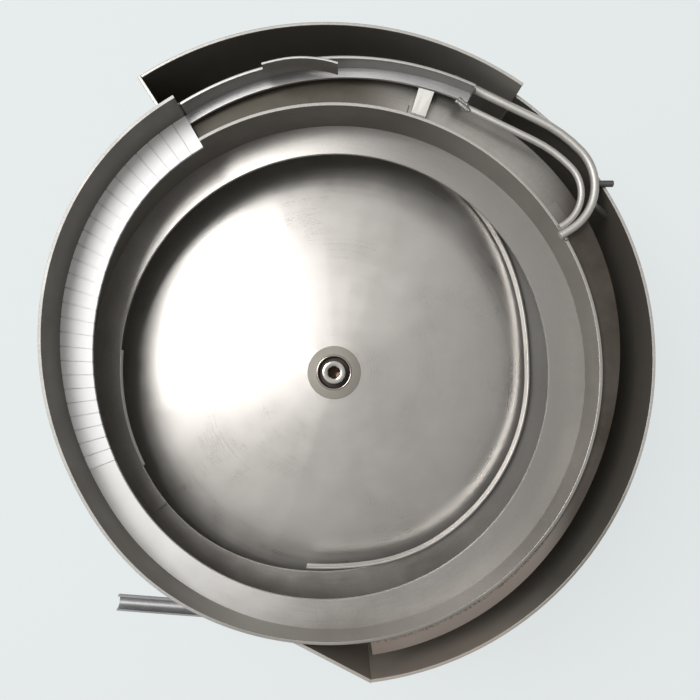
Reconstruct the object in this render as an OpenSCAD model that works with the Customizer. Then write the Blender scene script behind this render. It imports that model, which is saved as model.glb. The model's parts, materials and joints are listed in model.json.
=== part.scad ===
// Vibratory bowl feeder: a welded sheet-steel bowl with a helical track, a
// narrow selector track, a two-rod hanging rail and outer catch pans, on an
// electromagnetic leaf-spring drive. Millimetres, +Z up, origin on the table
// under the bowl's axis. Angles named *_a are clock angles: 0 at +Y, growing
// clockwise seen from above, and the track goes on past 360.

/* [Bowl] */
// Inner radius of the bowl shell
bowl_r = 160; // [150:1:172]
// Thickness of the bowl's sheet steel
sheet = 2; // [1.5:0.1:2.5]
// Height of the inner rim above the table
rim_z = 250; // [240:1:270]
// Depth of the bowl from its inner rim to the floor's edge
bowl_depth = 78; // [70:1:84]
// Rise of the floor from its edge to its centre
floor_dome = 8; // [4:0.5:12]

/* [Helical track] */
// Clock angle where the track leaves the bowl floor
track_start_a = 14; // [8:2:30]
// Width of the lower turn of the track
lower_w = 26; // [22:1:30]
// Width of the lower turn after the lap joint
middle_w = 18; // [16:0.5:20]
// Width of the upper turn where it is widest
upper_w = 23; // [21:0.5:25]
// Width of the upper turn where the wall starts to move outwards
waist_w = 16; // [14:0.5:18]
// Width of the upper turn at its end
end_w = 21.5; // [19:0.5:23]
// Height of the wall above the upper turn
wall_h = 29; // [25:1:33]
// How far the wall moves outwards over its last quarter turn
wall_growth = 17.5; // [14:0.5:20]
// Height of the lip on the lower turn's inner edge
lip_h = 6; // [4:0.5:9]
// Gap behind the free end of the lip
lip_flare = 3; // [2:0.5:4]

/* [Selector] */
// Clear width of the selector track
selector_w = 5.7; // [5:0.1:6.5]
// Height of the selector wall above the bowl rim
selector_h = 16; // [13:0.5:18]
// How far the selector wall moves outwards along its run
selector_growth = 6.8; // [5:0.1:8]
// Height of the wiper blade above the bowl rim
blade_h = 26; // [23:0.5:28]
// How far the wiper's tip reaches over the selector track
blade_reach = 5.8; // [4:0.2:6.2]

/* [Rail] */
// Diameter of the outer rail rod
rod_out_d = 5; // [4:0.5:6]
// Diameter of the inner rail rod
rod_in_d = 4; // [3:0.5:4.5]
// Length of the rail's straight run
rail_run = 45; // [40:1:50]
// Bend radius of the outer rod's hook
hook_r = 30.3; // [28:0.1:33]
// Diameter of the rail's support stud and strut
stud_d = 4; // [3.4:0.2:4.6]

/* [Pans] */
// Height of the upper guard's rim above the bowl rim
guard_h = 14; // [8:1:18]
// Clear width between the helical wall and the upper guard
guard_w = 21.9; // [19:0.1:25]
// Clear width of the side pan
pan_w = 32.7; // [30:0.1:36]
// How far the return ledge lies below the bowl rim
ledge_drop = 5; // [4:0.5:7]
// Width of the return ledge at its widest
ledge_w = 19; // [17:0.5:20]

/* [Chute] */
// Length of the discharge chute beyond the bowl's centre line
chute_l = 135; // [128:1:146]
// Inner radius of the chute's trough
chute_r = 4.2; // [3.8:0.1:5]

/* [Drive] */
// Radius of the cast base
base_r = 115; // [112:1:125]
// Thickness of the cast base
base_t = 22; // [18:1:28]
// Height of the rubber feet
foot_h = 24; // [20:1:28]
// Diameter of the rubber feet
foot_d = 36; // [32:1:42]
// Radius of the circle that the feet stand on
foot_circle_r = 92; // [88:1:94]
// Thickness of the top frame
frame_t = 18; // [15:1:22]
// Radius of the top frame
frame_r = 110; // [108:1:116]
// Tilt of the leaf springs from the vertical
spring_tilt = 20; // [15:1:24]
// Width of a leaf spring
leaf_w = 32; // [28:1:36]
// Thickness of a leaf spring
leaf_t = 2.5; // [2:0.1:3]
// Air gap between the magnet and its armature
air_gap = 1.5; // [1:0.1:2.5]

/* [Hidden] */
$fn = 96;
step_a = 4;

// Bowl
shell_out_r = bowl_r + sheet;
floor_z = rim_z - bowl_depth;
floor_flat_r = 22;
floor_top_z = floor_z + floor_dome;
shell_bottom_z = floor_z - sheet;

// Helical track: one climb from the floor's edge to the rim
turn = 360;
track_end_a = 690;
track_join_a = turn;
segment_a = 608;
track_start_z = floor_z + sheet;
track_climb = (rim_z - track_start_z) / (track_end_a - track_start_a);
wall_low_drop = 6.5;
wall_step_a = [185, 225];
leave_a = 238;
settled_a = 325;
wall_start_a = track_end_a - 2 * turn;
wall_end_a = track_end_a - turn;
widest_a = 450;
end_widen_a = 60;
lower_full_a = 90;
lower_narrow_a = 170;
lap_a = 232;
lap_end_a = 239;

// Lips and lap plate on the lower turn
lip_free_a = 148;
lip_end_a = 188;
left_lip_a = 244;
left_lip_end_a = 276;
lap_plate_w = 11;
lap_plate_t = 1.5;

// Return ledge
ledge_start_a = wall_start_a - 1;
ledge_end_a = 172;
ledge_wide_a = 45;
ledge_narrow_a = 120;
ledge_rise_a = 92;
ledge_flush_a = 150;
ledge_flush_drop = 0.6;
ledge_narrow_w = 8;

// Selector
weld_bite = 0.15;
rail_step = 0.5;
selector_end_a = 746.5;
selector_rise = rod_out_d - weld_bite + rail_step;
selector_gap_a = 0.4;
selector_step_a = 1;
blade_t = 1.5;
blade_a = [707, 721];
blade_bend_a = 710;
blade_low = 8;

// Bridge plate and cover patch on the return ledge
bridge_a = [16.8, 19.9];
bridge_t = 1.5;
patch_a = [52.5, 58.5];
patch_w = 8;
patch_t = 1;

// Rail: straight run, gentle arc, hook arc and a straight end on each rod
rail_touch_a = 25.9;
rail_back = 12;
rail_top_z = rim_z + rod_out_d - weld_bite;
rod_out_z = rail_top_z - rod_out_d / 2;
rod_in_z = rail_top_z - rod_in_d / 2;
bend_turn = 20.4;
hook_turn = 101.8;
bend_out_r = 87.4;
bend_in_r = 77.6;
rail_in_extra = 2.4;
rail_turn = bend_turn + hook_turn;
rail_seam = (rod_out_d + rod_in_d) / 2;
rod_out_end_in = 2;
rod_in_end_out = 0.5;
rod_step_a = 6;
rod_sides = 16;
stud_bearing = 4.7;
stud_over = 4.7;
strut_bearing = -18;
strut_heading = -12;
strut_slope = 50;

// Pans
guard_centre = [-4, 0.3];
guard_r = bowl_r + wall_growth + guard_w + 2 * sheet;
pan_centre = [-1.3, 7];
pan_r = shell_out_r + pan_w + sheet;
guard_start_a = -33;
guard_end_a = 33.5;
pan_end_a = 173;
pan_floor_z = floor_z + sheet;
pan_rim_z = rod_out_z - rod_out_d / 2 - stud_d + weld_bite;
guard_rim_z = rim_z + guard_h;
deflector_end_a = 190.2;
window_x = [-9, 28];
window_h = 16;
panel_over_a = 8;
panel_a = [180 - asin(window_x[1] / bowl_r) - panel_over_a,
           180 - asin(window_x[0] / bowl_r) + panel_over_a];

// Chute, beside the shell and square to the clock angle where it touches
chute_a = 184.4;
chute_t = 1.2;
chute_side = chute_r + chute_t;
chute_drop = 62;
chute_z = rim_z - chute_drop;
chute_lip = 2;
chute_slant = 4;
chute_hole_r = chute_r;
bracket_back = 48;
bracket_l = 14;
bracket_t = 2;

// Centre clamp
bolt_d = 10;
bolt_clear_d = 11;
bolt_head_d = 16;
bolt_head_h = 10;
bolt_hex = 8;
washer_r = 18.4;
washer_top_r = 12.8;
washer_recess_r = 11;
washer_h = 7;
washer_seat_h = 3;
hub_r = 16;
bolt_reach = 14;
seat_r = 88;
seat_t = 4;

// Drive heights
base_bottom_z = foot_h;
base_top_z = base_bottom_z + base_t;
frame_top_z = floor_z - 14;
frame_bottom_z = frame_top_z - frame_t;
pack_r = 86;
pack_count = 3;
pack_a = 30;
clamp_l = 24;
clamp_t = 4;
block_t = 20;
block_over = 2;
spacer_t = 2;
clamp_up = 14;
clamp_low_z = base_top_z + clamp_up;
clamp_high_z = frame_bottom_z - clamp_up;
clamp_pitch = (clamp_high_z - clamp_low_z) / cos(spring_tilt);
stack_t = 2 * leaf_t + spacer_t;
spring_bolt_d = 6;
spring_bolt_head_d = 10;
spring_bolt_head_h = 6;
spring_bolt_y = 9;
bolt_slack = 0.1;

// Magnet
core_w = 66;
core_d = 36;
core_h = 46;
core_yoke = 12;
core_leg = 18;
core_side = 9;
armature_t = 18;
coil_clear = 0.6;
coil_wall = 12;
coil_gap = 3;
core_top_z = frame_bottom_z - armature_t - air_gap;
core_bottom_z = core_top_z - core_h;
armature_screw_x = 24;
armature_screw_d = 8;
armature_screw_head_d = 13;
armature_screw_head_h = 8;
armature_screw_reach = 12;
plinth_t = 8;
plinth_wall = 6;
plinth_foot = 16;
plinth_screw_d = 8;
plinth_screw_head_d = 13;
plinth_screw_head_h = 8;
plinth_screw_reach = 12;

// Edges of the two castings
casting_chamfer = 3;

// Feet
foot_a = 90;
foot_count = 3;
foot_bolt_d = 8;
foot_bolt_up = 14;
foot_bolt_in = 12;
table_hole_r = 3.4;
table_hole_h = 8;
foot_groove = 2;

// Cable gland
gland_a = 180;
gland_z = base_bottom_z + base_t / 2;
gland_d = 16;
gland_nut = 17;
gland_nut_l = 5;
gland_l = 20;
gland_bore_d = 7;

// ---- Laws of the helix -------------------------------------------------

function ease(t) = let (u = max(0, min(1, t))) u * u * (3 - 2 * u);
function mix(a, b, t) = a + (b - a) * t;
function polar(a, r) = [r * sin(a), r * cos(a)];
function offset_circle_r(a, centre, r) =
    let (along = centre[0] * sin(a) + centre[1] * cos(a),
         across = centre[0] * cos(a) - centre[1] * sin(a))
    along + sqrt(r * r - across * across);

function track_z(a) = track_start_z + track_climb * (a - track_start_a);
function wall_r(a) = bowl_r + wall_growth * ease((a - leave_a) / (settled_a - leave_a));
function wall_height(a) =
    mix(wall_h - wall_low_drop, wall_h, ease((a - wall_step_a[0]) / (wall_step_a[1] - wall_step_a[0])));
function wall_top_z(a) = max(rim_z, track_z(turn + a) + wall_height(a));
shell_top_z = track_z(turn + leave_a) - sheet;
function wall_bottom_z(a) = max(shell_top_z, track_z(turn + a) - sheet);

function lower_track_w(a) =
    a < lower_full_a ? lower_w * ease((a - track_start_a) / (lower_full_a - track_start_a))
                     : mix(lower_w, middle_w, ease((a - lower_narrow_a) / (lap_a - lower_narrow_a)));
function lower_in_r(a) = bowl_r - max(1, lower_track_w(a));
function upper_track_w(a) =
    a < widest_a ? mix(middle_w, upper_w, ease((a - track_join_a) / (widest_a - track_join_a))) :
    a < turn + leave_a ? mix(upper_w, waist_w, ease((a - widest_a) / (turn + leave_a - widest_a)))
                       : mix(waist_w, end_w, ease((a - turn - leave_a) / end_widen_a));
function upper_in_r(a) = wall_r(a - turn) - upper_track_w(a);

function ledge_drop_at(a) =
    mix(ledge_drop, ledge_flush_drop, ease((a - ledge_rise_a) / (ledge_flush_a - ledge_rise_a)));
function ledge_z(a) = wall_top_z(a) - ledge_drop_at(a);
function ledge_plain_r(a) =
    shell_out_r + mix(ledge_w, ledge_narrow_w,
                      ease((a - ledge_wide_a) / (ledge_narrow_a - ledge_wide_a)));
function ledge_out_r(a) =
    a + 2 * turn < selector_end_a ? selector_wall_r(a + 2 * turn) + sheet : ledge_plain_r(a);

function selector_t(a) = (a - track_end_a) / (selector_end_a - track_end_a);
function selector_wall_r(a) = bowl_r + wall_growth + selector_growth * selector_t(a);
function selector_z(a) = rim_z + selector_rise * selector_t(a);
function blade_r(a) =
    selector_wall_r(a) - blade_reach * pow(max(0, (a - blade_bend_a) / (blade_a[1] - blade_bend_a)), 2);

// ---- Helpers -----------------------------------------------------------

// Stops for a sweep: its two ends and every multiple of the step between
function clock_stops(from_a, to_a, step) = [
    from_a,
    for (k = [floor(from_a / step + 0.01) + 1 : ceil(to_a / step - 0.01) - 1]) k * step,
    to_a
];

// Sweeps a section of [radius, height] points round the axis
module clock_sweep(from_a, to_a, section, step = step_a) {
    stops = clock_stops(from_a, to_a, step);
    last = len(stops) - 1;
    size = len(section(from_a));
    points = [for (a = stops, p = section(a)) [p[0] * sin(a), p[0] * cos(a), p[1]]];
    sides = [
        for (i = [0:last - 1], j = [0:size - 1])
            let (k = (j + 1) % size, near = i * size, far = near + size)
                each [[near + j, far + k, near + k], [near + j, far + j, far + k]]
    ];
    start_cap = [for (j = [0:size - 1]) j];
    end_cap = [for (j = [size - 1:-1:0]) last * size + j];
    polyhedron(points, concat([start_cap], sides, [end_cap]));
}

// A flat strip between two radii, its upper face at top_z
function strip_section(in_r, out_r, top_z, thick) =
    [[in_r, top_z], [out_r, top_z], [out_r, top_z - thick], [in_r, top_z - thick]];

// A 2D sector of the plan between two clock angles
module clock_sector(from_a, to_a, r) {
    count = ceil((to_a - from_a) / 30);
    polygon(concat([[0, 0]], [
        for (i = [0:count]) polar(mix(from_a, to_a, i / count), r / cos(15))
    ]));
}

module at_clock(a, r) {
    rotate([0, 0, -a]) translate([0, r, 0]) children();
}

module ring(out_r, in_r, z, h) {
    translate([0, 0, z]) difference() {
        cylinder(r = out_r, h = h);
        translate([0, 0, -1]) cylinder(r = in_r, h = h + 2);
    }
}

module socket_head(head_d, head_h, hex) {
    difference() {
        cylinder(d = head_d, h = head_h);
        translate([0, 0, head_h * 0.45]) cylinder(d = hex / cos(30), h = head_h, $fn = 6);
    }
}

// ---- Bowl --------------------------------------------------------------

module bowl_floor() {
    color("#8f8a82")
        rotate_extrude()
            polygon([
                [bolt_clear_d / 2, floor_top_z], [floor_flat_r, floor_top_z],
                [bowl_r, floor_z], [bowl_r, floor_z - sheet],
                [floor_flat_r, floor_top_z - sheet], [bolt_clear_d / 2, floor_top_z - sheet]
            ]);
}

module shell_ring() {
    ring(shell_out_r, bowl_r, shell_bottom_z, shell_top_z - shell_bottom_z);
}

module panel_sector() {
    translate([0, 0, shell_bottom_z - 1]) linear_extrude(shell_top_z - shell_bottom_z + 2)
        clock_sector(panel_a[0], panel_a[1], 2 * bowl_r);
}

module bowl_shell() {
    color("#8f8a82")
        difference() {
            shell_ring();
            panel_sector();
        }
}

// Part of the shell that is let in separately, with the return window cut in it
module window_panel() {
    color("#8f8a82")
        difference() {
            intersection() {
                shell_ring();
                panel_sector();
            }
            translate([window_x[0], -shell_out_r - 5, floor_z])
                cube([window_x[1] - window_x[0], 20, window_h]);
        }
}

module spiral_wall() {
    color("#a29d94")
        clock_sweep(wall_start_a, wall_end_a, function (a)
            [[wall_r(a), wall_top_z(a)], [wall_r(a) + sheet, wall_top_z(a)],
             [wall_r(a) + sheet, wall_bottom_z(a)], [wall_r(a), wall_bottom_z(a)]]);
}

module under_band() {
    color("#8f8a82")
        clock_sweep(leave_a + step_a, wall_end_a, function (a)
            [[bowl_r, wall_bottom_z(a)], [shell_out_r, wall_bottom_z(a)],
             [shell_out_r, shell_top_z], [bowl_r, shell_top_z]]);
}

module lower_track() {
    color("#a7a49d")
        clock_sweep(track_start_a, track_join_a, function (a)
            strip_section(lower_in_r(a), bowl_r, track_z(a), sheet));
}

module track_lip() {
    color("#cfccc4")
        clock_sweep(track_start_a + step_a, lip_end_a, function (a)
            let (r = lower_in_r(a) - lip_flare * ease((a - lip_free_a) / (lip_end_a - lip_free_a)))
            [[r - sheet, track_z(a) + lip_h * lip_share(a)], [r, track_z(a) + lip_h * lip_share(a)],
             [r, track_z(a) - sheet], [r - sheet, track_z(a) - sheet]]);
}
function lip_share(a) = mix(0.4, 1, ease((a - track_start_a) / 30));

module left_track_lip() {
    color("#cfccc4")
        clock_sweep(left_lip_a, left_lip_end_a, function (a)
            [[lower_in_r(a) - 1.5, track_z(a) + lip_h / 3], [lower_in_r(a), track_z(a) + lip_h / 3],
             [lower_in_r(a), track_z(a) - sheet], [lower_in_r(a) - 1.5, track_z(a) - sheet]]);
}

module lap_plate() {
    color("#b9b4ab")
        clock_sweep(lap_a, lap_end_a, function (a)
            strip_section(lower_in_r(a), lower_in_r(a) + lap_plate_w,
                          track_z(a) + lap_plate_t, lap_plate_t));
}

module upper_track() {
    color("#b5b1a8")
        clock_sweep(track_join_a, segment_a, function (a)
            strip_section(upper_in_r(a), wall_r(a - turn), track_z(a), sheet));
}

module segment_track() {
    color("#e2e0dc")
        clock_sweep(segment_a, track_end_a, function (a)
            strip_section(upper_in_r(a), wall_r(a - turn), track_z(a), sheet));
}

module return_ledge() {
    color("#8a8178")
        clock_sweep(ledge_start_a, ledge_end_a, function (a)
            strip_section(shell_out_r, ledge_out_r(a), ledge_z(a), sheet));
}

module ledge_patch() {
    color("#80786d")
        clock_sweep(patch_a[0], patch_a[1], function (a)
            strip_section(shell_out_r, shell_out_r + patch_w, ledge_z(a) + patch_t, patch_t), 2);
}

module bridge_plate() {
    color("#dad6ce")
        clock_sweep(bridge_a[0], bridge_a[1], function (a)
            let (high_r = selector_wall_r(a + 2 * turn) - selector_w,
                 high_z = selector_z(a + 2 * turn) - sheet)
            [[shell_out_r, rim_z], [high_r, high_z],
             [high_r, high_z - bridge_t], [shell_out_r, rim_z - bridge_t]], 2);
}

// ---- Selector ----------------------------------------------------------

module selector_track() {
    color("#b8b4ac")
        clock_sweep(track_end_a, selector_end_a, function (a)
            strip_section(selector_wall_r(a) - selector_w, selector_wall_r(a),
                          selector_z(a), sheet), selector_step_a);
}

module selector_wall() {
    color("#c9c5bd")
        clock_sweep(track_end_a + selector_gap_a, selector_end_a, function (a)
            [[selector_wall_r(a), rim_z + selector_h], [selector_wall_r(a) + sheet, rim_z + selector_h],
             [selector_wall_r(a) + sheet, ledge_z(a - 2 * turn)], [selector_wall_r(a), ledge_z(a - 2 * turn)]],
            selector_step_a);
}

module wiper_blade() {
    color("#d6d3cc")
        clock_sweep(blade_a[0], blade_a[1], function (a)
            [[blade_r(a) - blade_t, rim_z + blade_h], [blade_r(a), rim_z + blade_h],
             [blade_r(a), selector_z(a) + blade_low], [blade_r(a) - blade_t, selector_z(a) + blade_low]],
            selector_step_a);
}

// ---- Hanging rail ------------------------------------------------------

// Each rod is drawn from the point where the rail leaves the selector, along
// +X and turning clockwise; shape is [run, bend radius, hook radius]
rail_heading = -rail_touch_a;
rail_point = polar(rail_touch_a, selector_wall_r(rail_touch_a + 2 * turn) + sheet + rod_out_d / 2);
rail_pitch = sheet + selector_w + rail_seam;
rod_out_shape = [rail_run, bend_out_r, hook_r];
rod_in_shape = [rail_run + rail_in_extra, bend_in_r, inner_hook_r()];

// Distance of a rod's last straight from the start, square to that straight
function end_offset(shape, hook) =
    -shape[0] * sin(rail_turn) + shape[1] * (cos(rail_turn) - cos(hook_turn))
    - hook * (1 - cos(hook_turn));

// Hook radius that lays the inner rod's last straight against the outer rod
function inner_hook_r() =
    (end_offset([rail_run + rail_in_extra, bend_in_r], 0) + rail_pitch * cos(rail_turn)
     - end_offset([rail_run, bend_out_r], hook_r) - rail_seam) / (1 - cos(hook_turn));

// Place of a rod's hook centre, in the rail's frame
function hook_centre(shape) = [
    shape[0] + (shape[1] - shape[2]) * sin(bend_turn),
    -shape[1] + (shape[1] - shape[2]) * cos(bend_turn)
];
function turned_by(p, angle) =
    [p[0] * cos(angle) - p[1] * sin(angle), p[0] * sin(angle) + p[1] * cos(angle)];

// How far a point travels along a heading before it meets a circle round the axis
function way_to_circle(p, heading, r) =
    let (d = [cos(heading), sin(heading)], along = p * d)
    -along - sqrt(along * along - p * p + r * r);

module rod_straight(d, length) {
    rotate([0, 90, 0]) cylinder(d = d, h = length);
}

// Stops along an arc that turns clockwise from a point: [x, y, heading]
function arc_stops(p, heading, r, turn) =
    let (count = ceil(turn / rod_step_a),
         centre = p + r * [sin(heading), -cos(heading)])
    [for (i = [0:count])
        let (h = heading - turn * i / count)
            [centre[0] - r * sin(h), centre[1] + r * cos(h), h]];

function xy(stop) = [stop[0], stop[1]];
function ahead(p, heading, length) = p + length * [cos(heading), sin(heading)];

// All stops of a rod: tail, bend, hook, and a straight end that meets a circle
function rod_stops(side, tail, shape, end_r) =
    let (start = rail_point + turned_by([0, -side], rail_heading),
         tail_end = ahead(start, rail_heading, -tail),
         bend = arc_stops(ahead(start, rail_heading, shape[0]), rail_heading, shape[1], bend_turn),
         hook = arc_stops(xy(bend[len(bend) - 1]), rail_heading - bend_turn, shape[2], hook_turn),
         last = hook[len(hook) - 1],
         end = ahead(xy(last), last[2], way_to_circle(xy(last), last[2], end_r)))
    concat([[tail_end[0], tail_end[1], rail_heading]], bend,
           [for (i = [1:len(hook) - 1]) hook[i]], [[end[0], end[1], last[2]]]);

// A round rod along its stops, level at height z
module rail_rod(d, z, stops) {
    last = len(stops) - 1;
    points = [
        for (s = stops, j = [0:rod_sides - 1])
            let (t = 360 * j / rod_sides, out = d / 2 * cos(t))
                [s[0] - out * sin(s[2]), s[1] + out * cos(s[2]), z + d / 2 * sin(t)]
    ];
    sides = [
        for (i = [0:last - 1], j = [0:rod_sides - 1])
            let (k = (j + 1) % rod_sides, near = i * rod_sides, far = near + rod_sides)
                each [[near + j, near + k, far + k], [near + j, far + k, far + j]]
    ];
    start_cap = [for (j = [rod_sides - 1:-1:0]) j];
    end_cap = [for (j = [0:rod_sides - 1]) last * rod_sides + j];
    polyhedron(points, concat([start_cap], sides, [end_cap]));
}

module rail_outer_rod() {
    color("#cfcac2")
        rail_rod(rod_out_d, rod_out_z,
                 rod_stops(0, rail_back, rod_out_shape, bowl_r - rod_out_end_in));
}

module rail_inner_rod() {
    color("#cfcac2")
        rail_rod(rod_in_d, rod_in_z,
                 rod_stops(rail_pitch, 0, rod_in_shape, bowl_r + rod_in_end_out));
}

// Place on the outer rod's hook, at a bearing from +X
function hook_place(bearing) =
    rail_point + turned_by(hook_centre(rod_out_shape), rail_heading)
    + hook_r * [cos(bearing), sin(bearing)];
// Outside of the pan's wall, east of a point
function pan_east_x(p) = pan_centre[0] + sqrt(pow(pan_r, 2) - pow(p[1] - pan_centre[1], 2));

module rail_stud() {
    place = hook_place(stud_bearing);
    color("#6f6c66")
        translate([place[0] - stud_d / 2, place[1], pan_rim_z + stud_d / 2])
            rod_straight(stud_d, pan_east_x(place) + stud_over - place[0] + stud_d / 2);
}

module rail_strut() {
    place = hook_place(strut_bearing);
    color("#6f6c66")
        intersection() {
            translate([place[0], place[1], rod_out_z - rod_out_d / 2])
                rotate([0, strut_slope, strut_heading]) rod_straight(stud_d, 2 * pan_w);
            translate([pan_centre[0], pan_centre[1], pan_floor_z])
                cylinder(r = pan_r - sheet, h = rod_out_z - rod_out_d / 2 + weld_bite - pan_floor_z);
        }
}

// ---- Guard and pans ----------------------------------------------------

pan_corner = polar(pan_end_a, offset_circle_r(pan_end_a, pan_centre, pan_r - sheet));
deflector_foot = polar(deflector_end_a, shell_out_r);
deflector_run = deflector_foot - pan_corner;
deflector_heading = atan2(deflector_run[1], deflector_run[0]);
deflector_l = norm(deflector_run);

module wall_arc(centre, r, from_a, to_a, low_z, high_z) {
    translate([0, 0, low_z]) linear_extrude(high_z - low_z)
        intersection() {
            translate(centre) difference() {
                circle(r);
                circle(r - sheet);
            }
            clock_sector(from_a, to_a, 2 * r);
        }
}

module guard_wall() {
    color("#b3aea5")
        wall_arc(guard_centre, guard_r, guard_start_a, guard_end_a,
                 pan_floor_z - sheet, guard_rim_z);
}

// End plate of the guard, notched to pass over the helical wall
module guard_end() {
    near_r = bowl_r + wall_growth + sheet;
    far_r = offset_circle_r(guard_start_a, guard_centre, guard_r);
    low_z = pan_floor_z - sheet;
    color("#b3aea5")
        rotate([0, 0, -guard_start_a]) translate([-sheet, 0, 0])
            difference() {
                translate([0, shell_out_r, low_z])
                    cube([sheet, far_r - shell_out_r, guard_rim_z - low_z]);
                translate([-1, 0, track_z(2 * turn + guard_start_a) - sheet])
                    cube([sheet + 2, near_r, guard_rim_z]);
            }
}

module pan_wall() {
    color("#8f897e")
        wall_arc(pan_centre, pan_r, guard_end_a, pan_end_a, pan_floor_z - sheet, pan_rim_z);
}

// Flat sheet between the shell and a pan's wall
module floor_arc(centre, r, from_a, to_a) {
    intersection() {
        translate(centre) circle(r - sheet);
        clock_sector(from_a, to_a, 2 * r);
    }
}

module guard_floor() {
    color("#5f5b52")
        translate([0, 0, pan_floor_z - sheet]) linear_extrude(sheet)
            difference() {
                floor_arc(guard_centre, guard_r, guard_start_a, guard_end_a);
                circle(shell_out_r);
            }
}

// A wide band along the deflector, between two distances out from its inner face
module along_deflector(near, far) {
    translate(pan_corner) rotate([0, 0, deflector_heading])
        translate([-pan_r, near]) square([3 * pan_r, far - near]);
}

module pan_floor() {
    color("#5f5b52")
        translate([0, 0, pan_floor_z - sheet]) linear_extrude(sheet)
            difference() {
                floor_arc(pan_centre, pan_r, guard_end_a, deflector_end_a + 5);
                along_deflector(0, pan_r);
                circle(shell_out_r);
            }
}

// Straight strip from the pan wall's end to the shell
module deflector_plan() {
    difference() {
        translate(pan_corner) rotate([0, 0, deflector_heading])
            translate([-2 * sheet, 0]) square([deflector_l + 2 * sheet, sheet]);
        circle(shell_out_r);
        clock_sector(guard_end_a, pan_end_a, 2 * pan_r);
    }
}

module deflector() {
    color("#8f897e")
        difference() {
            translate([0, 0, pan_floor_z - sheet]) linear_extrude(pan_rim_z - pan_floor_z + sheet)
                deflector_plan();
            chute_line() rotate([0, -90, 0])
                translate([0, 0, -2 * chute_l]) cylinder(r = chute_hole_r, h = 3 * chute_l);
        }
}

// ---- Chute -------------------------------------------------------------

// Frame of the chute: origin where it touches the shell, -X towards its mouth
module chute_line() {
    rotate([0, 0, 180 - chute_a]) translate([0, -shell_out_r - chute_side, chute_z]) children();
}

module discharge_chute() {
    color("#c4c0b8")
        difference() {
            chute_line() translate([-chute_l, 0, 0]) rotate([90, 0, 90])
                linear_extrude(2 * chute_l)
                    trough_section();
            linear_extrude(rim_z) along_deflector(-pan_r, sheet);
            chute_line() translate([-chute_l, 0, 0]) rotate([0, 0, -chute_slant])
                translate([-chute_l, -chute_l, -chute_side - 1])
                    cube([chute_l, 2 * chute_l, 4 * chute_side]);
        }
}

// Half-round trough with an upright lip on each side
module trough_section() {
    difference() {
        union() {
            circle(chute_side);
            translate([-chute_side, 0]) square([2 * chute_side, chute_lip]);
        }
        circle(chute_r);
        translate([-chute_r, 0]) square([2 * chute_r, chute_side + chute_lip]);
        translate([-chute_side - 1, chute_lip]) square([2 * chute_side + 2, chute_side + 1]);
    }
}

module chute_bracket() {
    color("#8f897e")
        difference() {
            chute_line() translate([-bracket_back, -chute_side, -chute_side - bracket_t])
                cube([bracket_l, 4 * chute_side, bracket_t]);
            cylinder(r = shell_out_r, h = rim_z);
        }
}

// ---- Centre clamp ------------------------------------------------------

module cone_washer() {
    color("#d8d6d2")
        translate([0, 0, floor_top_z]) rotate_extrude()
            polygon([
                [bolt_clear_d / 2, 0], [washer_r, 0], [washer_r, 1], [washer_top_r, washer_h],
                [washer_recess_r, washer_h], [washer_recess_r, washer_seat_h],
                [bolt_clear_d / 2, washer_seat_h]
            ]);
}

module centre_bolt() {
    head_z = floor_top_z + washer_seat_h;
    color("#9c9a96") {
        translate([0, 0, head_z]) socket_head(bolt_head_d, bolt_head_h, bolt_hex);
        translate([0, 0, frame_top_z - bolt_reach])
            cylinder(d = bolt_d, h = head_z + 0.01 - frame_top_z + bolt_reach);
    }
}

module centre_hub() {
    color("#7b7974")
        ring(hub_r, bolt_clear_d / 2, frame_top_z, floor_top_z - sheet - frame_top_z);
}

// ---- Drive -------------------------------------------------------------

function floor_under_z(r) =
    floor_top_z - sheet - floor_dome * (r - floor_flat_r) / (bowl_r - floor_flat_r);

module bowl_seat() {
    color("#7b7974")
        rotate_extrude()
            polygon([
                [seat_r - seat_t, frame_top_z], [seat_r, frame_top_z],
                [seat_r, floor_under_z(seat_r)], [seat_r - seat_t, floor_under_z(seat_r - seat_t)]
            ]);
}

// A round casting with chamfered edges
module chamfered_disc(r, z, h) {
    c = casting_chamfer;
    translate([0, 0, z]) rotate_extrude()
        polygon([[0, 0], [r - c, 0], [r, c], [r, h - c], [r - c, h], [0, h]]);
}

// Puts its children on each leaf-spring pack: centre of the pack, leaves along Z
module each_pack() {
    for (i = [0:pack_count - 1])
        at_clock(pack_a + i * 360 / pack_count, pack_r)
            translate([0, 0, (clamp_low_z + clamp_high_z) / 2])
                rotate([0, spring_tilt, 0]) children();
}

// The lower clamp of each pack, or the upper one, which is the same turned over
module each_clamp(upper) {
    each_pack() rotate([0, upper ? 180 : 0, 0]) translate([0, 0, -clamp_pitch / 2]) children();
}

module clamp_holes(d) {
    for (y = [-spring_bolt_y, spring_bolt_y])
        translate([-2 * block_t, y, 0]) rod_straight(d, 4 * block_t);
}

module clamp_block() {
    w = leaf_w + 2 * block_over;
    translate([stack_t / 2, -w / 2, -clamp_l / 2 - clamp_up / 2])
        cube([block_t, w, clamp_l + clamp_up / 2]);
}

module clamp_plate() {
    difference() {
        translate([-stack_t / 2 - clamp_t, -leaf_w / 2, -clamp_l / 2])
            cube([clamp_t, leaf_w, clamp_l]);
        clamp_holes(spring_bolt_d + bolt_slack);
    }
}

module clamp_spacer() {
    difference() {
        translate([-spacer_t / 2, -leaf_w / 2, -clamp_l / 2]) cube([spacer_t, leaf_w, clamp_l]);
        clamp_holes(spring_bolt_d + bolt_slack);
    }
}

module clamp_bolts() {
    for (y = [-spring_bolt_y, spring_bolt_y])
        translate([-stack_t / 2 - clamp_t, y, 0]) {
            rotate([0, -90, 0]) socket_head(spring_bolt_head_d, spring_bolt_head_h, spring_bolt_d - 1);
            rod_straight(spring_bolt_d, clamp_t + stack_t + block_t - 4);
        }
}

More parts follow.
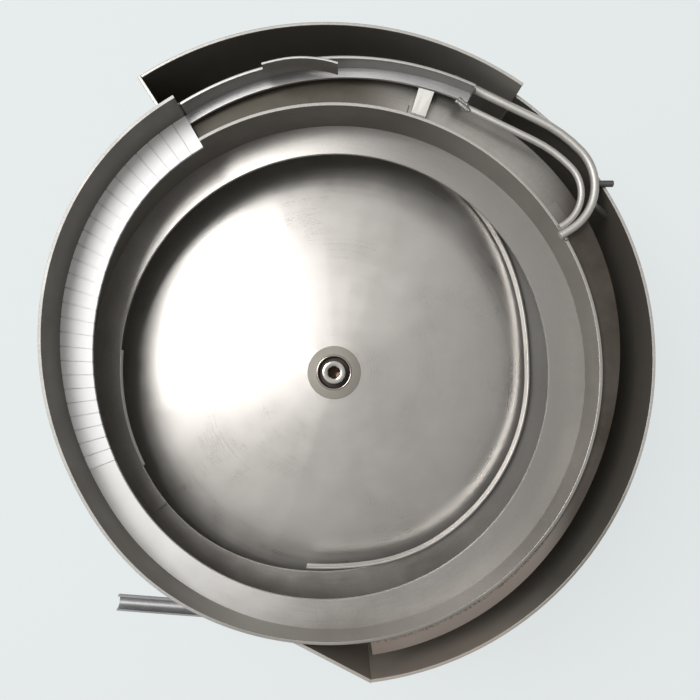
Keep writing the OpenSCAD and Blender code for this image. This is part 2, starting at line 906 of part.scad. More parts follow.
module top_frame() {
    color("#4f6a86")
        difference() {
            union() {
                chamfered_disc(frame_r, frame_bottom_z, frame_t);
                each_clamp(true) clamp_block();
            }
            each_clamp(true) clamp_holes(spring_bolt_d + bolt_slack);
            translate([0, 0, frame_top_z - bolt_reach - 1])
                cylinder(d = bolt_d + bolt_slack, h = bolt_reach + 2);
            armature_screw_places() translate([0, 0, -frame_t - 1])
                cylinder(d = armature_screw_d + bolt_slack, h = frame_t + 2);
            translate([0, 0, frame_top_z]) cylinder(r = 2 * frame_r, h = 4 * clamp_l);
        }
}

module armature_screw_places() {
    for (x = [-armature_screw_x, armature_screw_x])
        translate([x, 0, frame_top_z]) children();
}

module armature() {
    color("#5d5b58")
        difference() {
            translate([-core_w / 2, -core_d / 2, frame_bottom_z - armature_t])
                cube([core_w, core_d, armature_t]);
            armature_screw_places() translate([0, 0, -frame_t - armature_screw_reach])
                cylinder(d = armature_screw_d + bolt_slack, h = armature_screw_reach + 1);
        }
}

module armature_screws() {
    color("#3c3b3a")
        armature_screw_places() {
            socket_head(armature_screw_head_d, armature_screw_head_h, armature_screw_d - 2);
            translate([0, 0, -frame_t - armature_screw_reach])
                cylinder(d = armature_screw_d, h = frame_t + armature_screw_reach);
        }
}

module upper_clamp_plates() { color("#6e6c68") each_clamp(true) clamp_plate(); }
module upper_spacers() { color("#6e6c68") each_clamp(true) clamp_spacer(); }
module upper_spring_bolts() { color("#3c3b3a") each_clamp(true) clamp_bolts(); }
module lower_clamp_plates() { color("#6e6c68") each_clamp(false) clamp_plate(); }
module lower_spacers() { color("#6e6c68") each_clamp(false) clamp_spacer(); }
module lower_spring_bolts() { color("#3c3b3a") each_clamp(false) clamp_bolts(); }

module leaf_springs() {
    leaf_l = clamp_pitch + clamp_l;
    color("#8a8f96")
        each_pack()
            difference() {
                for (x = [-stack_t / 2, spacer_t / 2])
                    translate([x, -leaf_w / 2, -leaf_l / 2]) cube([leaf_t, leaf_w, leaf_l]);
                for (z = [-clamp_pitch / 2, clamp_pitch / 2])
                    translate([0, 0, z]) clamp_holes(spring_bolt_d + bolt_slack);
            }
}

// E-shaped core, legs upwards
module magnet_core() {
    leg_z = core_bottom_z + core_yoke;
    color("#5d5b58") {
        translate([-core_w / 2, -core_d / 2, core_bottom_z]) cube([core_w, core_d, core_yoke]);
        for (x = [-core_w / 2, core_w / 2 - core_side])
            translate([x, -core_d / 2, leg_z]) cube([core_side, core_d, core_top_z - leg_z]);
        translate([-core_leg / 2, -core_d / 2, leg_z]) cube([core_leg, core_d, core_top_z - leg_z]);
    }
}

module magnet_coil() {
    low_z = core_bottom_z + core_yoke + coil_clear;
    h = core_top_z - coil_gap - low_z;
    inner = [core_leg + 2 * coil_clear, core_d + 2 * coil_clear];
    outer = inner + [2 * coil_wall, 2 * coil_wall];
    color("#b06b2c")
        translate([0, 0, low_z]) difference() {
            translate([-outer[0] / 2, -outer[1] / 2, 0]) cube([outer[0], outer[1], h]);
            translate([-inner[0] / 2, -inner[1] / 2, -1]) cube([inner[0], inner[1], h + 2]);
        }
}

// Folded saddle that lifts the core off the base
module magnet_plinth() {
    h = core_bottom_z - base_top_z;
    half = core_w / 2;
    color("#77756f")
        difference() {
            translate([0, -core_d / 2, base_top_z]) rotate([90, 0, 0]) mirror([0, 0, 1])
                linear_extrude(core_d)
                    polygon([
                        [-half - plinth_foot, 0], [-half + plinth_wall, 0],
                        [-half + plinth_wall, h - plinth_t], [half - plinth_wall, h - plinth_t],
                        [half - plinth_wall, 0], [half + plinth_foot, 0],
                        [half + plinth_foot, plinth_t], [half, plinth_t],
                        [half, h], [-half, h], [-half, plinth_t], [-half - plinth_foot, plinth_t]
                    ]);
            plinth_screw_places() translate([0, 0, -1])
                cylinder(d = plinth_screw_d + bolt_slack, h = plinth_t + 2);
        }
}

module plinth_screw_places() {
    for (x = [-1, 1])
        translate([x * (core_w + plinth_foot) / 2, 0, base_top_z]) children();
}

module plinth_screws() {
    color("#3c3b3a")
        plinth_screw_places() {
            translate([0, 0, plinth_t])
                socket_head(plinth_screw_head_d, plinth_screw_head_h, plinth_screw_d - 2);
            translate([0, 0, -plinth_screw_reach])
                cylinder(d = plinth_screw_d, h = plinth_t + plinth_screw_reach);
        }
}

module foot_places() {
    for (i = [0:foot_count - 1])
        at_clock(foot_a + i * 360 / foot_count, foot_circle_r) children();
}

module base_casting() {
    color("#4f6a86")
        difference() {
            union() {
                chamfered_disc(base_r, base_bottom_z, base_t);
                each_clamp(false) clamp_block();
            }
            each_clamp(false) clamp_holes(spring_bolt_d + bolt_slack);
            plinth_screw_places() translate([0, 0, -plinth_screw_reach])
                cylinder(d = plinth_screw_d + bolt_slack, h = plinth_screw_reach + 1);
            foot_places() translate([0, 0, base_bottom_z - 1])
                cylinder(d = foot_bolt_d + bolt_slack, h = foot_bolt_up + 1);
            gland_line() cylinder(d = gland_d - 4 + bolt_slack, h = gland_l);
            translate([0, 0, -frame_t]) cylinder(r = 2 * base_r, h = base_bottom_z + frame_t);
        }
}

module rubber_feet() {
    r = foot_d / 2;
    color("#2b2b2b")
        foot_places()
            difference() {
                rotate_extrude()
                    polygon([
                        [0, 0], [r, 0], [r, foot_h / 4], [r - foot_groove, foot_h / 2],
                        [r, foot_h * 3 / 4], [r, foot_h], [0, foot_h]
                    ]);
                translate([0, 0, -1]) cylinder(r = table_hole_r, h = table_hole_h + 1);
                translate([0, 0, foot_h - foot_bolt_in])
                    cylinder(d = foot_bolt_d + bolt_slack, h = foot_bolt_in + 1);
            }
}

module foot_bolts() {
    color("#8a8f96")
        foot_places() translate([0, 0, foot_h - foot_bolt_in])
            cylinder(d = foot_bolt_d, h = foot_bolt_in + foot_bolt_up - 1);
}

// Frame of the gland: origin on the base's rim, +Z inwards
module gland_line() {
    at_clock(gland_a, base_r) translate([0, 0, gland_z]) rotate([90, 0, 0]) children();
}

module cable_gland() {
    thread_l = gland_l / 2;
    color("#3a3c3e")
        gland_line() difference() {
            union() {
                cylinder(d = gland_d - 4, h = thread_l);
                translate([0, 0, -gland_nut_l]) cylinder(d = gland_nut / cos(30), h = gland_nut_l, $fn = 6);
                translate([0, 0, -gland_nut_l - thread_l]) cylinder(d = gland_d, h = thread_l);
            }
            translate([0, 0, -2 * gland_l]) cylinder(d = gland_bore_d, h = 4 * gland_l);
        }
}

bowl_floor();
bowl_shell();
window_panel();
spiral_wall();
under_band();
lower_track();
track_lip();
left_track_lip();
lap_plate();
upper_track();
segment_track();
return_ledge();
ledge_patch();
bridge_plate();
selector_track();
selector_wall();
wiper_blade();
rail_outer_rod();
rail_inner_rod();
rail_stud();
rail_strut();
guard_wall();
guard_end();
guard_floor();
pan_wall();
pan_floor();
deflector();
discharge_chute();
chute_bracket();
cone_washer();
centre_bolt();
centre_hub();
bowl_seat();
top_frame();
armature();
armature_screws();
upper_clamp_plates();
upper_spacers();
upper_spring_bolts();
leaf_springs();
lower_spacers();
lower_clamp_plates();
lower_spring_bolts();
magnet_core();
magnet_coil();
magnet_plinth();
plinth_screws();
base_casting();
rubber_feet();
foot_bolts();
cable_gland();
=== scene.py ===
import bmesh
import bpy
import json
import math
from mathutils import Matrix, Vector

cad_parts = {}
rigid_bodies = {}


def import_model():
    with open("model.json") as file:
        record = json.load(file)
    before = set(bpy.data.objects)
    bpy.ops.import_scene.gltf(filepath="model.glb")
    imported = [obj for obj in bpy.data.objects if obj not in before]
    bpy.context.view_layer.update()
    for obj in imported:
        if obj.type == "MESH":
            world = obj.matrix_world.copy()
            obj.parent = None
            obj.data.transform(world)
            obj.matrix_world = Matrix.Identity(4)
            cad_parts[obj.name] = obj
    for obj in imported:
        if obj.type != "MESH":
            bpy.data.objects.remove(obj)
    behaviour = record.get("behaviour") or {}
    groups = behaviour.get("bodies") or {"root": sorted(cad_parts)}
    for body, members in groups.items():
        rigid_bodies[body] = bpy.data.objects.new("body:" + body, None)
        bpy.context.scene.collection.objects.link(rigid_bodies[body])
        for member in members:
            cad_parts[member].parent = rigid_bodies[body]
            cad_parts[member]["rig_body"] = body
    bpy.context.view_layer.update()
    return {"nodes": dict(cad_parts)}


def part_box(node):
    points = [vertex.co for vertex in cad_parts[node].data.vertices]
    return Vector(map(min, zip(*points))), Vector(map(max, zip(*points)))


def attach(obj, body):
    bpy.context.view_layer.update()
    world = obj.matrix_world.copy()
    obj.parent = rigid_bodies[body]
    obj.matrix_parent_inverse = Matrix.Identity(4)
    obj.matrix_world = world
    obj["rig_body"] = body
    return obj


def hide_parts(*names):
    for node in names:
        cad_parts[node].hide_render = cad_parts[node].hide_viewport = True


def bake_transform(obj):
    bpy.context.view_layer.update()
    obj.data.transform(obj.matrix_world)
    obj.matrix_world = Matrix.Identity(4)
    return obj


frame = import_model()
mm = 0.001
turn = 360


# sockets and trees: maths written as Python expressions, in shader and geometry trees alike

class Field:
    def __init__(self, tree, socket):
        self.tree = tree
        self.socket = socket

    def math(self, operation, *others):
        values = dict(enumerate((self,) + others))
        return self.tree.add("ShaderNodeMath", {"operation": operation}, values)

    def __add__(self, other):
        return self.math("ADD", other)

    def __sub__(self, other):
        return self.math("SUBTRACT", other)

    def __mul__(self, other):
        return self.math("MULTIPLY", other)

    def __truediv__(self, other):
        return self.math("DIVIDE", other)

    def __rtruediv__(self, other):
        return self.tree.number(other).math("DIVIDE", self)

    def __rsub__(self, other):
        return self.tree.number(other).math("SUBTRACT", self)

    def __pow__(self, other):
        return self.math("POWER", other)

    def __neg__(self):
        return self.math("MULTIPLY", -1.0)

    def __lt__(self, other):
        return self.math("LESS_THAN", other)

    def __gt__(self, other):
        return self.math("GREATER_THAN", other)

    __radd__ = __add__
    __rmul__ = __mul__


class Tree:
    def __init__(self, nodeTree):
        self.nodeTree = nodeTree

    def put(self, value, socket):
        if isinstance(value, Field):
            self.nodeTree.links.new(value.socket, socket)
        else:
            socket.default_value = value

    # kind of node, its settings, then the values or links of its sockets
    def add(self, kind, settings=None, values=None, output=0):
        node = self.nodeTree.nodes.new(kind)
        for name, setting in (settings or {}).items():
            setattr(node, name, setting)
        for name, value in (values or {}).items():
            self.put(value, node.inputs[name])
        return Field(self, node.outputs[output])

    def number(self, value):
        return self.add("ShaderNodeMath", {"operation": "ADD"}, {0: value, 1: 0.0})

    def vector(self, x, y, z):
        return self.add("ShaderNodeCombineXYZ", None, {"X": x, "Y": y, "Z": z})

    def parts(self, vector):
        node = self.nodeTree.nodes.new("ShaderNodeSeparateXYZ")
        self.put(vector, node.inputs[0])
        return [Field(self, output) for output in node.outputs]

    def blend(self, low, high, factor):
        return self.add("ShaderNodeMix", {"data_type": "RGBA"}, {0: factor, 6: low, 7: high}, 2)

    def noise(self, vector, scale, detail=2.0, roughness=0.5):
        values = {"Vector": vector, "Scale": scale, "Detail": detail, "Roughness": roughness}
        return self.add("ShaderNodeTexNoise", None, values)

    def shaped(self, value, low, high, kind="SMOOTHSTEP"):
        return self.add("ShaderNodeMapRange", {"interpolation_type": kind},
                        {"Value": value, "From Min": low, "From Max": high})


# smooth step from 0 at low to 1 at high, for a number or a field
def ease(value, low, high):
    if isinstance(value, Field):
        return value.tree.shaped(value, low, high)
    share = min(1.0, max(0.0, (value - low) / (high - low)))
    return share * share * (3 - 2 * share)


def larger(value, other):
    if isinstance(value, Field):
        return value.math("MAXIMUM", other)
    return max(value, other)


# the bowl's sizes and the laws that the helix follows; angles are clockwise from +Y

bowl = {
    "sheet": 2 * mm,
    "radius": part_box("bowl_shell")[1].x - 2 * mm,
    "rim": 250 * mm,
    "trackStart": 14.0,
    "trackStartZ": 174 * mm,
    "trackEnd": 690.0,
    "wallGrowth": 17.5 * mm,
    "wallAboveTrack": 29 * mm,
    "wallLowDrop": 6.5 * mm,
    "wallLowEnds": (185, 225),
}
gauge = bowl["sheet"]
climb = (bowl["rim"] - bowl["trackStartZ"]) / (bowl["trackEnd"] - bowl["trackStart"])
wallLeaves = 238.0
wallSettles = 325.0


def trackZ(a):
    return (a - bowl["trackStart"]) * climb + bowl["trackStartZ"]


def wallRadius(a):
    return ease(a, wallLeaves, wallSettles) * bowl["wallGrowth"] + bowl["radius"]


def wallTop(a):
    height = (ease(a, *bowl["wallLowEnds"]) - 1) * bowl["wallLowDrop"] + bowl["wallAboveTrack"]
    return larger(trackZ(a + turn) + height, bowl["rim"])


def wallBottom(a):
    return larger(trackZ(a + turn) - gauge, trackZ(turn + wallLeaves) - gauge)


# the track's widths, and the angles at which they are reached
widths = {"lower": 26 * mm, "middle": 18 * mm, "upper": 23 * mm, "waist": 16 * mm,
          "end": 21.5 * mm, "lowerFull": 90, "lowerNarrows": (170, 232), "upperFull": 450,
          "endFull": 658}


def lowerInner(a):
    width = ease(a, bowl["trackStart"], widths["lowerFull"]) * widths["lower"]
    width = width + ease(a, *widths["lowerNarrows"]) * (widths["middle"] - widths["lower"])
    return bowl["radius"] - larger(width, 1 * mm)


def upperInner(a):
    full, waist, end = widths["upperFull"], turn + wallLeaves, widths["endFull"]
    width = ease(a, turn, full) * (widths["upper"] - widths["middle"]) + widths["middle"]
    width = width + ease(a, full, waist) * (widths["waist"] - widths["upper"])
    width = width + ease(a, waist, end) * (widths["end"] - widths["waist"])
    return wallRadius(a - turn) - width


selector = {"end": 746.5, "width": 5.7 * mm, "height": 16 * mm, "growth": 6.8 * mm,
            "rise": 5.35 * mm, "wallStart": 690.4, "bladeStart": 707.0, "bladeBend": 710.0,
            "bladeEnd": 721.0, "bladeReach": 5.8 * mm, "bladeHeight": 26 * mm,
            "bladeLow": 8 * mm, "bladeSheet": 1.5 * mm}
selectorSpan = selector["end"] - bowl["trackEnd"]


def selectorWall(a):
    return (a - bowl["trackEnd"]) * (selector["growth"] / selectorSpan) + (
        bowl["radius"] + bowl["wallGrowth"])


def selectorZ(a):
    return (a - bowl["trackEnd"]) * (selector["rise"] / selectorSpan) + bowl["rim"]


def bladeRadius(a):
    run = larger(a - selector["bladeBend"], 0.0) / (selector["bladeEnd"] - selector["bladeBend"])
    return selectorWall(a) - run * run * selector["bladeReach"]


ledge = {"drop": 5 * mm, "flushDrop": 0.6 * mm, "rises": (92, 150),
         "wide": 19 * mm, "narrow": 8 * mm, "narrows": (45, 120)}
shellOuter = bowl["radius"] + gauge


def ledgeZ(a):
    drop = ease(a, *ledge["rises"]) * (ledge["flushDrop"] - ledge["drop"]) + ledge["drop"]
    return wallTop(a) - drop


def ledgeOuter(a):
    widening = ledge["narrow"] - ledge["wide"]
    plain = ease(a, *ledge["narrows"]) * widening + (shellOuter + ledge["wide"])
    beside = selectorWall(a + 2 * turn) + gauge
    return plain + (a < selector["end"] - 2 * turn) * (beside - plain)


# making meshes

def meshOf(name, shape):
    mesh = bpy.data.meshes.new(name)
    shape.to_mesh(mesh)
    shape.free()
    return mesh


def evaluatedMesh(piece):
    evaluated = piece.evaluated_get(bpy.context.evaluated_depsgraph_get())
    return bpy.data.meshes.new_from_object(evaluated)


def linked(name, mesh):
    piece = bpy.data.objects.new(name, mesh)
    bpy.context.scene.collection.objects.link(piece)
    return piece


def smoothed(piece, angle=35.0):
    piece.data.shade_smooth()
    piece.data.set_sharp_from_angle(angle=math.radians(angle))
    return piece


def bevelled(piece, width, segments=2, angle=35.0):
    rounding = piece.modifiers.new("edges", "BEVEL")
    rounding.width = width
    rounding.segments = segments
    rounding.limit_method = "ANGLE"
    rounding.angle_limit = math.radians(angle)
    rounding.harden_normals = True
    return piece


def finished(piece, body, slot, *nodes):
    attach(piece, body)
    if nodes:
        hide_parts(*nodes)
    return piece


# a copy of a CAD node with merged faces, smooth curves and slightly rounded edges
def dressed(node, material, slot, rounding=0.3 * mm, segments=2, angle=35.0):
    mesh = frame["nodes"][node].data.copy()
    shape = bmesh.new()
    shape.from_mesh(mesh)
    bmesh.ops.remove_doubles(shape, verts=shape.verts, dist=0.002 * mm)
    bmesh.ops.dissolve_limit(shape, angle_limit=math.radians(0.6), verts=shape.verts,
                             edges=shape.edges)
    shape.to_mesh(mesh)
    shape.free()
    mesh.materials.clear()
    mesh.materials.append(material)
    piece = smoothed(linked(node + "_dressed", mesh), angle)
    if rounding:
        bevelled(piece, rounding, segments, angle)
    return finished(piece, frame["nodes"][node]["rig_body"], slot, node)


# runs a geometry tree with named inputs once and keeps its result as a plain mesh; points are the
# vertices that the tree starts from, each with an optional direction under the name "aim"
def grown(name, sizes, build, material, points=(), aims=()):
    group = bpy.data.node_groups.new(name, "GeometryNodeTree")
    group.interface.new_socket("Geometry", in_out="OUTPUT", socket_type="NodeSocketGeometry")
    group.interface.new_socket("Points", in_out="INPUT", socket_type="NodeSocketGeometry")
    for label, value in sizes.items():
        kind = "NodeSocketInt" if isinstance(value, int) else "NodeSocketFloat"
        group.interface.new_socket(label, in_out="INPUT", socket_type=kind)
    tree = Tree(group)
    source = group.nodes.new("NodeGroupInput")
    given = {label: Field(tree, source.outputs[label]) for label in ["Points", *sizes]}
    shape = build(tree, given)
    shape = tree.add("GeometryNodeRealizeInstances", None, {"Geometry": shape})
    shape = tree.add("GeometryNodeSetMaterial", None, {"Geometry": shape, "Material": material})
    tree.put(shape, group.nodes.new("NodeGroupOutput").inputs[0])
    seeds = bpy.data.meshes.new(name + "Rule")
    seeds.from_pydata([tuple(point) for point in points], [], [])
    if aims:
        attribute = seeds.attributes.new("aim", "FLOAT_VECTOR", "POINT")
        attribute.data.foreach_set("vector", [part for aim in aims for part in aim])
    holder = linked(name + "Rule", seeds)
    modifier = holder.modifiers.new("rule", "NODES")
    modifier.node_group = group
    for item in group.interface.items_tree:
        if item.in_out == "INPUT" and item.name in sizes:
            modifier[item.identifier] = sizes[item.name]
    mesh = evaluatedMesh(holder)
    bpy.data.objects.remove(holder)
    return linked(name, mesh)


def aimOfPoints(tree):
    return tree.add("GeometryNodeInputNamedAttribute", {"data_type": "FLOAT_VECTOR"},
                    {"Name": "aim"})


# a place on a circle round Z, at a clock angle in degrees
def clockPlace(tree, a, radius, height):
    bearing = a * math.radians(1)
    return tree.vector(bearing.math("SINE") * radius, bearing.math("COSINE") * radius, height)


# copies of one mesh on points, its +Z turned along each point's aim
def placed(name, mesh, spots, material):
    source = linked(name + "One", mesh)

    def build(tree, given):
        one = tree.add("GeometryNodeObjectInfo", None, {"Object": source}, "Geometry")
        turned = tree.add("FunctionNodeAlignRotationToVector", {"axis": "Z"},
                          {"Vector": aimOfPoints(tree)})
        return tree.add("GeometryNodeInstanceOnPoints", None,
                        {"Points": given["Points"], "Instance": one, "Rotation": turned})

    places, aims = zip(*spots)
    piece = grown(name, {}, build, material, places, aims)
    bpy.data.objects.remove(source)
    return smoothed(piece)


ridgeDepth = 0.25 * mm


# how far out a ring's corner lies: round, six flats, or fine upright ridges
def cornerRadius(kind, radius, corner, sides):
    if kind == "hex":
        fromFlat = math.radians((360 * corner / sides) % 60 - 30)
        return radius / math.cos(fromFlat)
    if kind == "ridged":
        return radius - ridgeDepth * (corner % 2)
    return radius


# a closed solid turned about Z: rings are [radius, height] or [radius, height, kind] in mm;
# it ends in a pole where the radius is 0, and otherwise closes on its first ring
def turned(name, rings, sides=72):
    shape = bmesh.new()
    loops = []
    for radius, height, *kind in rings:
        if radius == 0:
            loops.append([shape.verts.new((0, 0, height * mm))])
            continue
        corners = []
        for corner in range(sides):
            reach = cornerRadius(kind[0] if kind else "round", radius * mm, corner, sides)
            bearing = math.tau * corner / sides
            place = (reach * math.cos(bearing), reach * math.sin(bearing), height * mm)
            corners.append(shape.verts.new(place))
        loops.append(corners)
    pairs = list(zip(loops, loops[1:]))
    if rings[0][0]:
        pairs.append((loops[-1], loops[0]))
    for lower, upper in pairs:
        for corner in range(sides):
            following = (corner + 1) % sides
            quad = [lower[corner % len(lower)], lower[following % len(lower)],
                    upper[following % len(upper)], upper[corner % len(upper)]]
            shape.faces.new(list(dict.fromkeys(quad)))
    bmesh.ops.recalc_face_normals(shape, faces=shape.faces)
    return meshOf(name, shape)


# a socket-head cap screw, the underside of its head at the origin and its head towards +Z
def capScrew(name, head, height, socket, shank, length):
    return turned(name, [
        [0, -length], [shank - 0.6, -length], [shank, -length + 0.6], [shank, 0], [head - 0.3, 0],
        [head, 0.3, "ridged"], [head, height - 0.9, "ridged"], [head - 0.1, height - 0.7],
        [head - 0.15, height - 0.45], [head - 0.4, height - 0.12], [head - 0.8, height],
        [socket / 2 + 0.75, height], [socket / 2 + 0.35, height - 0.15],
        [socket / 2, height - 0.5, "hex"], [socket / 2, height * 0.46, "hex"],
        [0, height * 0.46 - 0.12 * socket]])


# a rounded edge drawn in two chords: the share of its radius at the middle corner
roundNear, roundFar = 0.293, 0.707


# a closed box of cells bent round the axis: law(a) gives inner and outer radius, bottom and
# top; the two roundings, in mm, run along the inner and the outer top edge
def sweptSheet(name, start, end, law, material, innerRound=0.0, outerRound=0.0, step=1.5):
    sizes = {"Start angle": float(start), "End angle": float(end),
             "Inner rounding": innerRound * mm, "Outer rounding": outerRound * mm,
             "Stops": max(3, math.ceil((end - start) / step) + 1)}

    def build(tree, given):
        box = tree.add("GeometryNodeMeshCube", None,
                       {"Size": (1, 1, 1), "Vertices X": given["Stops"], "Vertices Z": 4})
        along, across, up = tree.parts(tree.add("GeometryNodeInputPosition"))
        first, last = given["Start angle"], given["End angle"]
        a = first + (along + 0.5) * (last - first)
        inner, outer, bottom, top = law(a)
        # four levels: the bottom, then three round the top edge
        overBottom, overFirst, overSecond = up > -0.4, up > 0.0, up > 0.4
        inset = overFirst * roundNear + overSecond * roundFar
        drop = 1.0 - overFirst * roundFar - overSecond * roundNear
        rounding = given["Inner rounding"].math("MAXIMUM", given["Outer rounding"])
        height = bottom + overBottom * (top - bottom - drop * rounding)
        inner = inner + inset * given["Inner rounding"]
        outer = outer - inset * given["Outer rounding"]
        radius = inner + (across + 0.5) * (outer - inner)
        place = clockPlace(tree, a, radius, height)
        return tree.add("GeometryNodeSetPosition", None, {"Geometry": box, "Position": place})

    piece = smoothed(grown(name, sizes, build, material), 50.0)
    piece.modifiers.new("normals", "WEIGHTED_NORMAL").keep_sharp = True
    return piece


# cuts boxes out of a piece: each [clock angle, inner radius, outer radius, low, high, width]
def carved(piece, cuts):
    shape = bmesh.new()
    for a, inner, outer, low, high, width in cuts:
        size = Matrix.Diagonal((width * mm, (outer - inner) * mm, (high - low) * mm, 1))
        middle = Matrix.Translation((0, (outer + inner) / 2 * mm, (high + low) / 2 * mm))
        spin = Matrix.Rotation(-math.radians(a), 4, "Z")
        bmesh.ops.create_cube(shape, size=1, matrix=spin @ middle @ size)
    cutter = linked("cutter", meshOf("cutter", shape))
    piece.modifiers.clear()
    cut = piece.modifiers.new("cuts", "BOOLEAN")
    cut.operation = "DIFFERENCE"
    cut.solver = "EXACT"
    cut.object = cutter
    result = evaluatedMesh(piece)
    piece.modifiers.remove(cut)
    piece.data = result
    bpy.data.objects.remove(cutter)
    return smoothed(piece, 50.0)


slits = {"ledge": [[15.9, 163.6, 168.4, 240, 248, 0.8]]}


# finishes

def material(name):
    made = bpy.data.materials.new(name)
    made.use_nodes = True
    tree = Tree(made.node_tree)
    return made, tree, made.node_tree.nodes["Principled BSDF"]


rust = (0.09, 0.055, 0.035, 1)
polish = (0.42, 0.37, 0.33, 1)
# painted shade for hollows: the washer's bore and the bolt's socket
hollowShade = (0.03, 0.02, 0.014, 1)
# where the painted highlight on rims fades: between these places, in metres, and by how much
rimHighlightFade = {"x": (-0.03, 0.03), "y": (0.05, 0.10), "share": 0.75}
# the edges of a rusty seam, the specks that it takes up and the side of the bowl that it is on
seamFade = {"inner": 0.4 * mm, "outer": 0.8 * mm, "specks": (-0.02, 0.1), "side": (0.05, 0.12)}


# brushed sheet steel: streaks along the circumference, cloudy tone, a rim painted brighter on top
# as a highlight, and stains with painted light and shade laid by place
def steel(name, look):
    made, tree, shader = material(name)
    place = tree.add("ShaderNodeTexCoord", None, None, 3)
    x, y, z = tree.parts(place)
    radius = (x * x + y * y) ** 0.5
    drift = tree.noise(place, look["driftScale"], 2.0)
    streakPlace = tree.vector(radius * 1000, z * 1000, drift * look["drift"])
    streaks = tree.noise(streakPlace, look["streakScale"], 3.0, 0.65) - 0.5
    clouds = tree.noise(place, look["cloudScale"], 4.0, 0.6) - 0.5
    specks = tree.noise(place, look["speckScale"], 2.0, 0.7) - 0.5
    tone = streaks * look["streaks"] + clouds * look["clouds"] + specks * look["specks"] + 0.5
    colour = tree.blend((*look["dark"], 1), (*look["light"], 1), tone.math("MINIMUM", 1.0))
    normal = tree.parts(tree.add("ShaderNodeNewGeometry", None, None, 1))[2]
    tinted = 0.0
    # stains, painted light and painted shade, each mixed in where its masks reach
    for stain, strength, masks in look.get("stains", []):
        share = clouds * 0.5 + strength
        for alongX, alongY, alongZ, low, high in masks:
            share = share * ease(x * alongX + y * alongY + z * alongZ, low, high)
        colour = tree.blend(colour, (*stain, 1), share)
        tinted = share + tinted
    # painted highlight on faces that look up, such as rims, weaker towards the lower right
    if "rim" in look:
        highlightFade = ease(-y, *rimHighlightFade["y"]) * ease(x, *rimHighlightFade["x"]) * rimHighlightFade["share"]
        rim = ease(normal, *look["rimEdge"]) * (1.0 - highlightFade)
        colour = tree.blend(colour, (*look["rim"], 1), rim * (specks * 0.9 + 0.85))
    roughness = streaks * look["roughStreaks"] + clouds * look["roughClouds"] + look["roughness"]
    metallic = look.get("metallic", 0.85)
    if "stains" in look:
        metallic = metallic - tinted.math("MINIMUM", 1.0) * (0.8 * metallic)
        roughness = roughness + tinted * 0.12
    if "seam" in look:
        # rust dots along the weld between the two radii
        inner, outer = look["seam"]
        band = ease(radius, inner, inner + seamFade["inner"])
        band = band * (1.0 - ease(radius, outer, outer + seamFade["outer"]))
        band = band * ease(specks, *seamFade["specks"]) * ease(x - y, *seamFade["side"])
        colour = tree.blend(colour, rust, band * 0.85)
    if "rings" in look:
        # painted shade in the hollow inside the first radius, and a polished ring between the two
        hollow = radius < look["rings"][0]
        polished = (radius < look["rings"][1]) * (1.0 - hollow)
        colour = tree.blend(colour, polish, polished)
        colour = tree.blend(colour, hollowShade, hollow)
        roughness = roughness - polished * (look["roughness"] - 0.12)
        metallic = polished * (1.0 - metallic) + metallic
    tree.put(colour, shader.inputs["Base Color"])
    tree.put(metallic, shader.inputs["Metallic"])
    tree.put(roughness, shader.inputs["Roughness"])
    bump = tree.add("ShaderNodeBump", None,
                    {"Strength": look["bump"], "Distance": look["bumpDepth"],
                     "Height": streaks + specks * 0.6 + clouds * 0.4})
    tree.put(bump, shader.inputs["Normal"])
    return made


plainLook = {"drift": 5.0, "driftScale": 6.0, "streakScale": 1.6, "cloudScale": 26.0,
             "speckScale": 900.0, "streaks": 0.7, "clouds": 1.3, "specks": 0.7, "bump": 0.3,
             "bumpDepth": 0.08 * mm, "roughness": 0.36, "roughStreaks": 0.16,
             "roughClouds": 0.22, "rimEdge": (0.55, 0.9)}
# painted highlight colour for rims and other faces that look up
sheetRimHighlight = (0.52, 0.505, 0.475)
# stains and painted light and shade: colour, strength, then masks [along X, along Y, along Z,
# from, to] in metres, which are multiplied
ledgeStains = [[(0.092, 0.078, 0.057), 1.0, [[-1, 0, 0, -0.06, -0.01]]],
               [(0.22, 0.178, 0.15), 0.85, [[0, -1, 0, 0.07, 0.12]]],
               [(0.05, 0.037, 0.027), 0.95, [[1, 0, 0, 0.115, 0.15]]]]
# painted shade: the walls darker towards the left and the top
wallShade = [[(0.13, 0.118, 0.10), 0.95, [[-1, 0.5, 0, -0.04, 0.05]]]]
# painted light: the upper turn near white on the left; painted shade: the track darker on the
# right
trackLightAndShade = [[(0.88, 0.865, 0.84), 0.85, [[-1, 0, 0, 0.0, 0.10], [0, 0, 1, 0.222, 0.236]]],
               [(0.20, 0.19, 0.175), 0.7, [[1, 0.3, 0, 0.02, 0.11]]]]
# painted shade: the pan walls darker to the right; painted light: lighter at the bottom
panShadeAndLight = [[(0.11, 0.098, 0.08), 0.8, [[1, 0.5, 0, 0.05, 0.15]]],
             [(0.38, 0.335, 0.285), 0.9, [[0, -1, 0, 0.12, 0.17]]]]
# painted light: the pan and guard floors lighter at the bottom and to the upper right
panFloorLight = [[(0.40, 0.34, 0.29), 0.95, [[0, -1, 0, 0.10, 0.16]]],
                  [(0.46, 0.43, 0.39), 0.95, [[0.7, 0.7, 0, 0.13, 0.19]]]]
# painted light: the guard lighter towards the right
guardLight = [[(0.32, 0.305, 0.28), 0.85, [[1, 0, 0, 0.0, 0.11]]]]


def brushed(dark, light, **changes):
    return {**plainLook, "dark": dark, "light": light, **changes}


